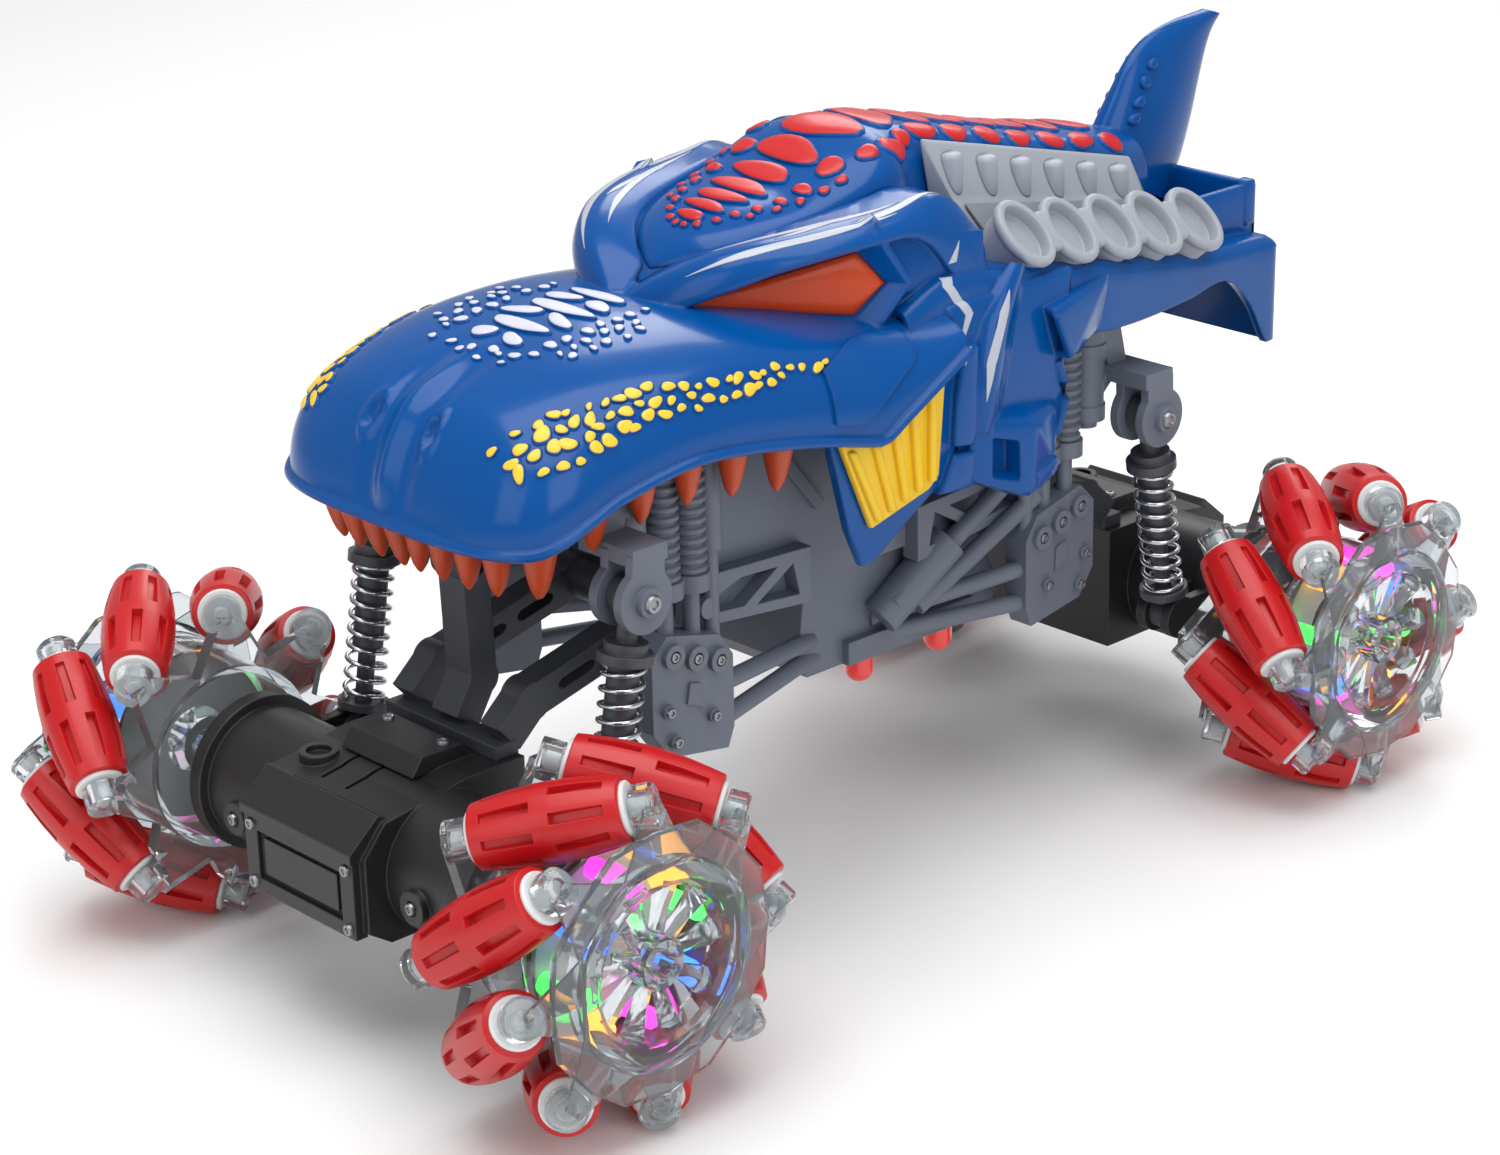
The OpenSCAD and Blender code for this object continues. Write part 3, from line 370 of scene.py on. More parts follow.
for wheel, ends in wheels.items():
    stock = bmesh.new()
    turned(stock, drum_profile, onto_axle, 64, loop=True)
    turned(stock, boss_profile, onto_axle, 40, loop=True)
    for k in range(spokes):
        spin = Matrix.Rotation(2 * pi * k / spokes, 4, "Y")
        rows = []
        for r, w, top in spoke_rows:
            section = ((-w, spoke_foot), (-w, spoke_edge), (0, top), (w, spoke_edge), (w, spoke_foot))
            rows.append([spin @ Vector((r, y, z)) for z, y in section])
        skin(stock, rows)
    first = radians(22.5) + lug_lead
    corners = [(star_tip_r if k % 2 else star_flat_r, first + k * pi / 8) for k in range(16)]
    rows = [[((r + grow) * cos(a), y, (r + grow) * sin(a)) for r, a in corners] for grow, y in star_profile]
    skin(stock, rows + rows[:1], ends=False)
    for k in range(8):
        a = first + k * pi / 4
        out, wide = Vector((cos(a), 0, sin(a))), Vector((-sin(a), 0, cos(a)))
        rows = []
        for r, w, low, brim, top in lug_rows:
            rows.append([out * r + wide * (w * s) + Vector((0, y, 0))
                         for s, y in ((-1, low), (-1, brim), (0, top), (1, brim), (1, low))])
        skin(stock, rows)
        turned(stock, cap_profile, on_roller(k), 28, loop=True)
    at_wheel(stock, ends)
    star = make("hub_star_" + wheel, stock, hub_clear, "wheel_" + wheel, sharp=18)
    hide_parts("hub_outer_" + wheel)
    stock = bmesh.new()
    turned(stock, [(8.2, 1), (19.8, 1), (19.8, 2.2), (8.2, 2.2)], onto_axle, 48, loop=True)
    at_wheel(stock, ends)
    make("lamp_board_" + wheel, stock, board_white, "wheel_" + wheel)
    for j, tint in enumerate(light_tints):
        stock = bmesh.new()
        for k in (j, j + 4):
            spot = Matrix.Rotation(radians(45 * k + 12), 4, "Y") @ Matrix.Translation((light_r, 0, 0))
            turned(stock, light_profile, spot @ onto_axle, 20)
        at_wheel(stock, ends)
        make(f"light_{tint}_{wheel}", stock, light_looks[tint], "wheel_" + wheel)


# Rollers: red PVC barrels that turn freely on stubs between the lugs, eight to a wheel.
# Two staggered rows of long pockets lighten each barrel; a white nylon collar closes each end.
roller_red = moulded("roller_red", srgb(192, 20, 24), rough=0.34, grain=0.05, edge=0.25, worn=0.06)
collar_white = moulded("collar_white", srgb(224, 226, 226), rough=0.35, grain=0.03)
wheel_r = 42


def barrel_r(s):
    """The barrel's radius at s along it, so that all eight fill the wheel's round outline."""
    return wheel_r - sqrt(ring_r ** 2 + (s * sin(tilt)) ** 2)


pitch_turn = 22.5
turns = sorted({pitch_turn * k + d for k in range(16) for d in (-8.4, -7.2, 0, 7.2, 8.4)})
half_cuts = [0, 2, 2.4, 8, 13.2, 13.6, 15.6, 16.3, 16.5]
rings = []
for s in [-cut for cut in half_cuts[:0:-1]] + half_cuts:
    ring = []
    for t in turns:
        near = (t + pitch_turn / 2) % pitch_turn - pitch_turn / 2
        row = round((t - near) / pitch_turn) % 2
        in_pocket = abs(near) < 8 and 2.2 < (s if row == 0 else -s) < 13.4
        r = barrel_r(s) - (0.25 if abs(s) > 16.4 else 0) - (2.3 - 0.09 * abs(s) if in_pocket else 0)
        ring.append((r * cos(radians(t)), r * sin(radians(t)), s))
    rings.append(ring)
barrel = bmesh.new()
skin(barrel, rings)
collars = bmesh.new()
collar_profile = ((0, 16.2), (5.5, 16.2), (5.9, 16.6), (5.9, 17.2), (5.5, 17.5), (2.2, 17.5), (2, 17.7),
                  (2, 21.4), (1.6, 21.7), (0, 21.7))
for s in (1, -1):
    turned(collars, [(r, s * z) for r, z in collar_profile], steps=28)
barrel_mesh = make("barrel_pattern", barrel, roller_red, "car")
collar_mesh = make("collar_pattern", collars, collar_white, "car")
for wheel, ends in wheels.items():
    middle = Matrix.Translation((axle_x / 1000, wheel_y / 1000, axle_z / 1000))
    corner = Matrix.Diagonal((ends[0], ends[1], 1, 1)) @ middle
    for i in range(8):
        seat = on_roller(i)
        seat.translation *= mm
        seat = corner @ seat
        if seat.determinant() < 0:
            seat = seat @ Matrix.Diagonal((-1, 1, 1, 1))
        for pattern, name in ((barrel_mesh, "barrel"), (collar_mesh, "collar")):
            piece = bpy.data.objects.new(f"{name}_{wheel}_{i + 1}", pattern.data)
            bpy.context.collection.objects.link(piece)
            piece.matrix_world = seat
            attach(piece, f"roller_body_{wheel}_{i + 1}")
            if name == "barrel":
                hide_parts(f"roller_{wheel}_{i + 1}")
for pattern in (barrel_mesh, collar_mesh):
    bpy.data.objects.remove(pattern)


# Shell, snout: the blue upper jaw of the beast head, glossy ABS with a 2 mm wall, open underneath.
# It is moulded in one with the rest of the shell; a rounded bead stiffens the lip all the way round.
def curve(rows, x):
    """A value at x on a smooth curve through rows of (x, value)."""
    i = 0
    while i < len(rows) - 2 and x > rows[i + 1][0]:
        i += 1
    rate = []
    for j in (i, i + 1):
        a, b = rows[max(0, j - 1)], rows[min(len(rows) - 1, j + 1)]
        rate.append((b[1] - a[1]) / (b[0] - a[0]))
    gap = rows[i + 1][0] - rows[i][0]
    u = min(max((x - rows[i][0]) / gap, 0), 1)
    return (rows[i][1] * (2 * u ** 3 - 3 * u ** 2 + 1) + rate[0] * gap * (u ** 3 - 2 * u ** 2 + u)
            + rows[i + 1][1] * (3 * u ** 2 - 2 * u ** 3) + rate[1] * gap * (u ** 3 - u ** 2))


def squared(c, power):
    """A cosine or sine bent towards a square section."""
    return (abs(c) ** power) * (1 if c >= 0 else -1)


def swept(stock, path, radius, sides=10):
    """A round bar along a path of points."""
    path = [Vector(p) for p in path]
    rings = []
    for k, p in enumerate(path):
        run = (path[min(k + 1, len(path) - 1)] - path[max(k - 1, 0)]).normalized()
        aside = run.cross(Vector((0, 0, 1))).normalized()
        over = aside.cross(run)
        rings.append([p + radius * (cos(a) * aside + sin(a) * over) for a in around(sides)])
    skin(stock, rings)


def weld_in(stock, part):
    """Adds one stock to another."""
    bmesh.ops.recalc_face_normals(part, faces=part.faces)
    mesh = bpy.data.meshes.new("part")
    part.to_mesh(mesh)
    part.free()
    stock.from_mesh(mesh)
    bpy.data.meshes.remove(mesh)


jaw_side = [(-12, 54), (12, 53), (32, 52), (50, 50.5), (68, 49.5), (80, 48.6), (92, 47.5)]
jaw_lip = [(-12, 136), (0, 129), (9, 123.8), (15, 120.4), (21, 121.4), (32, 124), (50, 127), (68, 128.5),
           (80, 127), (92, 124), (100, 121), (107, 118), (112, 116.2), (120, 115.5)]
jaw_crown = [(-12, 146), (10, 148), (30, 150.5), (50, 152.3), (66, 152), (80, 150.6), (92, 148), (104, 143.4),
             (110, 139.4), (114, 134), (116.8, 128), (118.4, 122.5), (119.2, 119), (120, 117)]


def jaw_half(x):
    """Half the snout's width at x; the nose is a rounded square."""
    if x > 92:
        return 47.5 * max(0.0001, 1 - ((x - 92) / 28.2) ** 3.6) ** (1 / 3.6)
    return curve(jaw_side, x)


def snout_relief(p):
    """How far the snout's skin stands out: slanted nostrils with rims, a nose ridge between two hollows."""
    x, y, z = p.x, abs(p.y), p.z
    down_nose = 0.8 * (136.8 - z) + 0.6 * (x - 112)
    off_nose = (x - 112) * 0.8 - (136.8 - z) * 0.6
    far = sqrt(((y - 10.4 - 0.12 * down_nose) / 1.9) ** 2 + (down_nose / 4.2) ** 2 + off_nose ** 2 / 90)
    rise = 0.75 * exp(-((far - 1.25) / 0.42) ** 2) - 1.5 * exp(-(far / 0.85) ** 4)
    front = min(max((x - 84) / 22, 0), 1) * min(max((z - 117) / 7, 0), 1)
    rise += front * (1.5 * exp(-(y / 2.4) ** 2) - 0.8 * exp(-((y - 6.2) / 2.6) ** 2))
    return rise


shell_blue = moulded("shell_blue", srgb(1, 77, 150), rough=0.2, gloss=0.14, mottle=0.05, grain=0.015,
                     edge=1.1, worn=0.03, grit=500)
tune(shell_blue, {"Specular IOR Level": 0.22})
shell = bmesh.new()
snout = bmesh.new()
stations = [92 + 28 * sin(pi / 2 * k / 54) for k in range(54, 0, -1)] + [92 - 2.6 * k for k in range(41)]
flank = [0.52 * k / 24 for k in range(25)]
sweep = flank + [acos(squared(0.9 - 0.018 * k, 1.695)) for k in range(101)] + [pi - a for a in flank[::-1]]
rings = []
for x in stations:
    wide, low, high = jaw_half(x), curve(jaw_lip, x), curve(jaw_crown, x)
    rings.append([(x, wide * squared(cos(a), 0.59), low + (high - low) * squared(sin(a), 0.77))
                  for a in sweep])
skin(snout, rings, loop=False, ends=False)
snout.faces.new(list(snout.verts)[len(sweep) - 1::-1])
bmesh.ops.recalc_face_normals(snout, faces=snout.faces)
snout.normal_update()
for v, lift in [(v, v.normal * snout_relief(v.co)) for v in snout.verts]:
    v.co += lift
bmesh.ops.solidify(snout, geom=snout.faces[:], thickness=2)
left_lip = [(x, jaw_half(x) + 0.3, curve(jaw_lip, x) + 0.3) for x in stations[::-1]]
front_lip = [(120.2, 17 - 3.4 * k, 115.8) for k in range(1, 10)]
swept(snout, left_lip + front_lip + [(x, -y, z) for x, y, z in left_lip[::-1]], 1.3)
weld_in(shell, snout)


# Shell, brow and face: an oval brow rim that overhangs the eyes, on a wedge whose slanted sides carry them.
# Same blue moulding; a bevelled frame surrounds each eye.
def block(stock, corners, edge=0.6, bend=2):
    """A solid block between corner points, with rounded edges."""
    part = bmesh.new()
    for p in corners:
        part.verts.new(p)
    bmesh.ops.convex_hull(part, input=part.verts[:])
    bmesh.ops.dissolve_limit(part, angle_limit=radians(1), verts=part.verts[:], edges=part.edges[:])
    bmesh.ops.bevel(part, geom=part.edges[:], offset=edge, segments=bend, profile=0.5, affect="EDGES",
                    clamp_overlap=True)
    weld_in(stock, part)


def box_at(x0, y0, z0, x1, y1, z1):
    """The eight corners of an upright box."""
    return [(x, y, z) for x in (x0, x1) for y in (y0, y1) for z in (z0, z1)]


def on_side(side, corners):
    """Points given for the left side, mirrored when side is -1."""
    return [(x, side * y, z) for x, y, z in corners]


brow_top = [(-29, 160.5), (-23, 167), (-17, 169.8), (-13, 170), (-6, 168.8), (2, 168), (12, 167.4),
            (20, 166.6), (28, 165.6), (35, 163.8), (40, 161.2), (44, 158), (47, 154.6), (49, 151.8)]
brow_low = [(-29, 142), (-20, 148), (-8, 161), (5, 162.5), (27, 160), (38, 155.5), (44, 151.6), (49, 147)]
groove_side = [(-34, 19.7), (-31, 20.4), (-24, 23.6), (-13.4, 25.4), (-4, 24.6), (5, 23.2), (14.3, 21.2),
               (20.5, 19.2), (25.9, 16.6), (30.4, 12.9), (34, 8.4), (36.8, 4), (38.7, 0)]
groove_high = [(-34, 158), (-31, 161), (-24, 166.4), (-13.4, 169.2), (-4, 168), (5, 166.8), (14.3, 165.5),
               (20.5, 164.3), (25.9, 163), (30.4, 161.3), (34, 159.2), (36.8, 157), (38.7, 154.8),
               (44, 153.2), (49, 151.4)]
brow_back_x, brow_long, brow_wide = -10, 59, 44


def brow_half(x):
    """Half the brow's width at x; the front is rounded."""
    ahead_of = x - brow_back_x
    if ahead_of > 0:
        return brow_wide * max(0, 1 - (ahead_of / brow_long) ** 2.2) ** (1 / 2.2)
    return brow_wide + ahead_of / -26


rings = []
for x in ([brow_back_x + brow_long * cos(pi / 2 * k / 30) ** 0.9 for k in range(1, 30)]
          + [brow_back_x - 1.9 * k for k in range(11)]):
    wide, low, high = brow_half(x), curve(brow_low, x), curve(brow_top, x)
    fit = min(1, wide / 16)
    inner, bed = curve(groove_side, x) if x < 38.7 else 0, curve(groove_high, x)
    sink = min(1, inner / 6)
    crest, lip = wide - 7.4 * fit, inner + 0.8 + 1.2 * sink
    side = [(wide - 4 * fit, low + 0.6), (wide - 1.2 * fit, low), (wide - 0.2, low + 0.6), (wide, low + 1.6),
            (wide - 0.5 * fit, low + 0.42 * (high - low)), (wide - 1.8 * fit, low + 0.72 * (high - low)),
            (wide - 3.8 * fit, low + 0.9 * (high - low)), (wide - 5.6 * fit, high - 0.2), (crest, high)]
    side += [(crest + (lip - crest) * k / 6, high + (bed + 0.9 * sink - high) * (k / 6) ** 1.5)
             for k in range(1, 7)]
    side += [(inner + 0.6 + 0.5 * sink, bed + 0.4 * sink), (inner + 0.4, bed - 0.9 * sink),
             (inner * 0.9 + 0.2, bed - 2.6 * sink - 0.1), (0.5 * inner + 0.1, bed - 3.2 * sink - 0.2)]
    rings.append([(x, y, z) for y, z in side] + [(x, -y, z) for y, z in side[::-1]])
skin(shell, rings)
wedge_plan = ((44, 15), (0, 40.5), (-28, 43.9))
wedge_side = ((44, 15, 140), (44, 15, 153.5), (40, 8, 150), (26, 17, 160), (10, 18, 161.5), (0, 40.5, 140),
              (0, 40.5, 163.5), (-28, 43.9, 140), (-28, 43.9, 160), (-28, 16, 140), (-28, 16, 160))
block(shell, [(x, s * y, z) for x, y in wedge_plan for s in (1, -1) for z in (136, 150)], 0.8)
for side in (1, -1):
    block(shell, on_side(side, wedge_side), 0.8)
eye_shape = [(1, 151.4), (42, 159.6), (48.6, 152.6), (41.4, 146), (20, 148.6)]
eye_mid = (28, 152)
eye_run = Vector((-44, 25.5, 0)).normalized()
eye_out = Vector((25.5, 44, 0)).normalized()


def on_face(side, along, height, out):
    """A point on the slanted face: along it from the nose end, at a height, and out from its plane."""
    p = Vector((44, 15, height)) + eye_run * along + eye_out * out
    return (p.x, side * p.y, p.z)


def eye_ring(side, grow, out, flat=1.0):
    """The eye's outline, grown about its middle; out is less towards the nose unless it is flat."""
    points = []
    for s, z in eye_shape:
        along = eye_mid[0] + (s - eye_mid[0]) * (1 + grow / 18)
        height = eye_mid[1] + (z - eye_mid[1]) * (1 + grow / 5)
        points.append(on_face(side, along, height, out * (flat + (1 - flat) * s / 48)))
    return points


eye_frame = ((6.2, -0.8), (5.6, 3.4), (5.0, 4.1), (4.3, 4.2), (1.0, 1.2), (0.5, -0.6))
for side in (1, -1):
    skin(shell, [eye_ring(side, grow, out, 0.2) for grow, out in eye_frame], ends=False)


# Shell, dome and back: one ridge from brow to tail, with square shoulders where the exhaust banks sit.
# Same blue moulding; its front end stands in the groove of the brow.
dome_side = [(-120, 16), (-110, 18.4), (-98, 19.4), (-60, 19.5)] + groove_side
dome_top = [(-120, 160.4), (-110, 162.6), (-81, 168), (-55, 174.4), (-31, 179.6), (-21, 180.4), (-14, 178.8),
            (-6.4, 175.2), (0.7, 172.3), (6.8, 170.2), (14.6, 168.6), (19.8, 167.4), (23.8, 166.2),
            (28, 164.6), (32, 162.4), (35.4, 159.6), (37.6, 157.2), (38.7, 155)]
dome_round = [(-120, 0.5), (-36, 0.45), (-30, 0.55), (-22, 0.8), (39, 0.85)]
dome_full = [(-120, 0.5), (-36, 0.45), (-30, 0.5), (-22, 0.7), (39, 0.8)]


def fender_z(x):
    """Height of the fender's top at x."""
    return 150.5 if x > -28 else 150.5 + (x + 28) * 13.9 / 82


def dome_foot(x):
    """Height of the dome's foot: in the groove of the brow, and down on the fender behind it."""
    groove = curve(groove_high, max(x, -29)) - 1.8
    share = min(max((-20 - x) / 9, 0), 1)
    return groove + (min(146, fender_z(x) - 1) - groove) * share * share * (3 - 2 * share)


rings = []
for x in ([38.6 - 12 * (k / 14) ** 2 for k in range(15)] + [25 - 1.9 * k for k in range(31)]
          + [-34 - 5 * k for k in range(17)] + [-118, -120]):
    wide, high, low = curve(dome_side, x), curve(dome_top, x), dome_foot(x)
    rings.append([(x, wide * squared(cos(pi * k / 48), curve(dome_round, x)),
                   low + (high - low) * squared(sin(pi * k / 48), curve(dome_full, x))) for k in range(49)])
skin(shell, rings)


# Shell, rear: fenders, the open bed behind the ridge and the tail fin.
# Same blue moulding; the bed is an open box with a post at each rear corner.
rear_top = [(-142, 134), (-122, 135.6), (-110, 136.6), (-70, 143.4), (-28, 150.5), (-14, 151.5), (0, 146)]
rear_low = [(-144, 106), (-140, 106), (-132, 118), (-121, 127), (-105, 126), (-86, 125.4), (-71, 126),
            (-52, 128), (-30, 128), (-10, 131), (0, 131)]
rear = bmesh.new()
rings = []
for x in ([-3 * k for k in range(41)] + [-120 - 2 * k for k in range(1, 10)]
          + [-139, -140, -142, -143.4, -144]):
    wide = 46 if x > -70 else 46 + (x + 70) * 6.5 / 76
    top, low = curve(rear_top, max(x, -142)), curve(rear_low, x) if x > -140 else 106
    drop = 0.8 if x == -143.4 else 2.2 if x == -144 else 0
    side = [(wide - drop / 3, low)]
    side += [(wide - drop / 3, low + (top - 3.2 - low) * k / 4) for k in range(1, 5)]
    side += [(wide - 0.5, top - 1.7 - drop / 2), (wide - 1.6, top - 0.5 - drop), (wide - 3.2, top - drop)]
    side += [(wide * k / 6, top - drop) for k in (5, 4, 3, 2, 1)]
    rings.append([(x, y, z) for y, z in side] + [(x, 0, top - drop)] + [(x, -y, z) for y, z in side[::-1]])
skin(rear, rings, loop=False, ends=False)
rear.verts.ensure_lookup_table()
rear.faces.new(rear.verts[-len(rings[0]):])
bmesh.ops.recalc_face_normals(rear, faces=rear.faces)
bmesh.ops.solidify(rear, geom=rear.faces[:], thickness=2)
weld_in(shell, rear)
for corners in (box_at(-144, 29.6, 131, -117, 32, 147), box_at(-144, -32, 131, -117, -29.6, 147),
                box_at(-144, -32, 131, -141.6, 32, 147), box_at(-143, -31, 132, -117, 31, 138),
                box_at(-143, 28.5, 136, -139, 32.6, 148), box_at(-143, -32.6, 136, -139, -28.5, 148)):
    block(shell, corners, 0.8, 3)
fin_lead = [(0, -110), (0.2, -119), (0.4, -124), (0.6, -129), (0.8, -136.5), (0.92, -147), (1, -160)]
fin_rise = [(0, 150), (0.2, 163), (0.4, 170), (0.6, 176.5), (0.8, 181.5), (0.92, 184), (1, 185)]
fin_trail = [(0, -142.5), (0.2, -149), (0.4, -153.5), (0.6, -156.5), (0.8, -159.5), (0.92, -162), (1, -165)]
fin_fall = [(0, 137), (0.2, 147), (0.4, 157), (0.6, 165), (0.8, 173.5), (0.92, 179), (1, 183)]
rings = []
for k in range(33):
    t = sin(pi / 2 * k / 32)
    start, stop = (curve(fin_lead, t), curve(fin_rise, t)), (curve(fin_trail, t), curve(fin_fall, t))
    ring = []
    for a in around(40):
        u = 0.5 - 0.5 * cos(a)
        thick = 8.4 * (1 - 0.72 * t) * sin(a)
        ring.append((start[0] + u * (stop[0] - start[0]), thick, start[1] + u * (stop[1] - start[1])))
    rings.append(ring)
skin(shell, rings)


# Shell, cheeks and neck: a skirt with a fang point behind the jaw, then a pod with a fold, a duct and a wing.
# Same blue moulding; the duct's pocket and the wing's mouth are cut in. Four posts stand on the deck.
def carve(part, cutter):
    """Cuts one stock out of another and gives back what is left."""
    blanks = []
    for piece in (part, cutter):
        bmesh.ops.recalc_face_normals(piece, faces=piece.faces)
        mesh = bpy.data.meshes.new("blank")
        piece.to_mesh(mesh)
        piece.free()
        blanks.append(bpy.data.objects.new("blank", mesh))
        bpy.context.collection.objects.link(blanks[-1])
    saw = blanks[0].modifiers.new("saw", "BOOLEAN")
    saw.object, saw.operation, saw.solver = blanks[1], "DIFFERENCE", "EXACT"
    left = bmesh.new()
    left.from_mesh(blanks[0].evaluated_get(bpy.context.evaluated_depsgraph_get()).to_mesh())
    for blank in blanks:
        bpy.data.objects.remove(blank)
    return left


def plate(stock, outline, side, faces, edge, bend=2):
    """A flat plate with an outline of (x, z), between two distances from the car's middle."""
    part = bmesh.new()
    skin(part, [[(x, side * y, z) for x, z in outline] for y in faces])
    bmesh.ops.bevel(part, geom=part.edges[:], offset=edge, segments=bend, profile=0.5, affect="EDGES")
    weld_in(stock, part)


skirt = [(31, 138), (27, 118), (22, 99), (18, 89), (15, 88.4), (2, 97), (-12, 104), (-16, 118), (-14, 140)]
pod_side = [(-12, 145), (-15, 112), (-17, 101), (-33, 94), (-43, 97), (-49, 102), (-53, 111), (-52.5, 121),
            (-52, 127), (-56, 146)]
fold_rows = ((-38, 150, 47.4, 3, 2), (-34, 145, 48.8, 5, 3), (-29.4, 137, 50.4, 7, 4.6),
             (-26, 127, 51.6, 8, 5.6), (-24, 118, 52, 7.6, 6), (-23, 112, 51.4, 6.4, 6))
fold_section = ((1, 0), (0.92, 0.5), (0.7, 0.84), (0.42, 1), (0.1, 0.96), (-0.4, 0.66), (-0.8, 0.3), (-1, 0))
duct_body = ((-17.5, 46, 101), (-17.5, 49.4, 101.6), (-17.8, 46, 117), (-17.8, 49.6, 116), (-34.5, 46, 92.8),
             (-34.5, 54.4, 94), (-36, 46, 117), (-36, 53.8, 112.6), (-46, 46, 96.6), (-45.4, 51.4, 98),
             (-50, 46, 115), (-49, 49, 112))
duct_pocket = ((-22.2, 53.4, 100.4), (-22.2, 53.4, 112), (-30.6, 55.6, 98.2), (-30.6, 55.6, 109.6),
               (-25.4, 46.6, 102.4), (-25.4, 46.6, 110), (-31.6, 47.2, 100.6), (-31.6, 47.2, 108))
duct_step = ((-36, 48, 95.4), (-35.6, 54.2, 95), (-36, 48, 100.6), (-35.6, 55, 99.6), (-45.4, 48, 97),
             (-45, 52.6, 97.4), (-45.4, 48, 102.6), (-45, 52.8, 101.8))
wing_body = ((-44.6, 44, 139), (-44.6, 52, 137.6), (-49.6, 44, 123.6), (-49.6, 52.8, 124.8), (-70, 44, 142),
             (-70, 46.8, 141), (-67, 44, 127), (-66.6, 46.8, 128.4))
wing_mouth = ((-40, 47.6, 136.8), (-40, 50.6, 136.2), (-46, 47.6, 125.4), (-46, 51.2, 126),
              (-58, 47.6, 137.6), (-57, 48.8, 137), (-59, 47.6, 128), (-58, 49, 128.4))
pod_bead = ((-50.4, 47, 123.4), (-52, 47.6, 118), (-52.4, 47.8, 113), (-50.6, 47.8, 108.4), (-48.6, 48, 105))
upper_pad = ((-11.4, 46, 111.4), (-11.4, 50.2, 111.6), (-18.7, 46, 110.2), (-18.7, 50.6, 110.4),
             (-12.2, 46, 123), (-12.2, 50.6, 123), (-19.6, 46, 136), (-19.6, 50.4, 135), (-14.6, 46, 137),
             (-14.6, 50.4, 136))
lower_pad = ((-7, 46, 100.4), (-7, 49.4, 100.4), (-18.6, 46, 99), (-18.6, 49.8, 100), (-11.6, 46, 109.6),
             (-11.6, 50, 109.6), (-18.8, 46, 109), (-18.8, 50.2, 109))
for side in (1, -1):
    plate(shell, skirt, side, (45.8, 48.2), 0.8)
    plate(shell, pod_side, side, (44, 47.4), 1.4, 3)
    fold = bmesh.new()
    skin(fold, [[(x + 0.94 * wide * c, side * (out - deep * (1 - d)), z + 0.33 * wide * c)
                 for c, d in fold_section] for x, z, out, wide, deep in fold_rows])
    weld_in(shell, fold)
    duct, hole = bmesh.new(), bmesh.new()
    block(duct, on_side(side, duct_body), 1.1, 3)
    block(hole, on_side(side, duct_pocket), 0.8, 3)
    weld_in(shell, carve(duct, hole))
    block(shell, on_side(side, duct_step), 0.7, 2)
    wing, hole = bmesh.new(), bmesh.new()
    block(wing, on_side(side, wing_body), 0.9, 3)
    block(hole, on_side(side, wing_mouth), 0.6, 3)
    weld_in(shell, carve(wing, hole))
    swept(shell, on_side(side, pod_bead), 1.3)
    block(shell, on_side(side, upper_pad), 0.9, 3)
    block(shell, on_side(side, lower_pad), 0.8, 3)
    for x, y, z0, z1 in ((68, 16, 127.2, 150), (-70, 12, 127.2, 166)):
        turned(shell, [(0, 0), (4, 0), (4, z1 - z0), (0, z1 - z0)], Matrix.Translation((x, side * y, z0)), 24)
bmesh.ops.recalc_face_normals(shell, faces=shell.faces)
shell.normal_update()
shell_tree = BVHTree.FromBMesh(shell)
skin_piece = make("beast_shell", shell, shell_blue, "car", sharp=32)
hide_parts("body_shell")


# Teeth: brown-orange cones on a strip that is glued inside the lip, a little curved and blunt.
# Soft PVC with an uneven tint.
tooth_orange = moulded("tooth_orange", srgb(184, 66, 26), rough=0.4, mottle=0.2, grain=0.05, edge=0.3,
                       worn=0.08)
stock = bmesh.new()
spots = []
for i in range(11):
    if i < 5:
        y = 4 + 8.2 * i
        x = 92 + 20.2 * max(0, 1 - (y / 39.7) ** 3.6) ** (1 / 3.6)
    else:
        x = 105 - 13 * (i - 5)
        y = jaw_half(x + (4.68 if x > 92 else 0)) - 7.8
    spots.append((x, y, curve(jaw_lip, min(120, x + (7.8 if x > 92 else 0)))))
for side in (1, -1):
    for x, y, z in spots:
        rings = []
        for k in range(9):
            t = k / 8
            r = 4.3 * (1 - t) ** 0.66 + 0.7 * t
            bend = 1.1 * t * t
            rings.append([(x - 0.5 * bend + r * cos(a), side * (y - bend) + r * sin(a), z + 1 - 14 * t)
                          for a in around(14)])
        x1, y1, z1 = rings[-1][0][0] - 0.75, side * (y - 1.1), z - 13.4
        rings.append([(x1 + 0.35 * cos(a), y1 + 0.35 * sin(a), z1) for a in around(14)])
        skin(stock, rings)
path = [(x, -y, z + 1.9) for x, y, z in spots[::-1]] + [(x, y, z + 1.9) for x, y, z in spots]
swept(stock, path, 2.1)
teeth = make("tooth_row", stock, tooth_orange, "car", sharp=50)
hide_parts("upper_teeth")


# Eyes: pillowed orange panels clipped into their frames, one on each slanted side of the face.
# ABS with an uneven orange tint under a thin lacquer.
eye_orange = moulded("eye_orange", srgb(204, 66, 20), rough=0.32, gloss=0.15, mottle=0.16, grain=0.02,
                     edge=0.6)
tune(eye_orange, {"Specular IOR Level": 0.3})
eye_pillow = ((0.6, 0.1), (0.4, 0.5), (-0.4, 1.0), (-1.6, 1.35), (-3.2, 1.5))
stock = bmesh.new()
for side in (1, -1):
    skin(stock, [eye_ring(side, grow, out) for grow, out in eye_pillow])
eyes = make("eye_pair", stock, eye_orange, "car", sharp=40)
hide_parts("eye_panels")


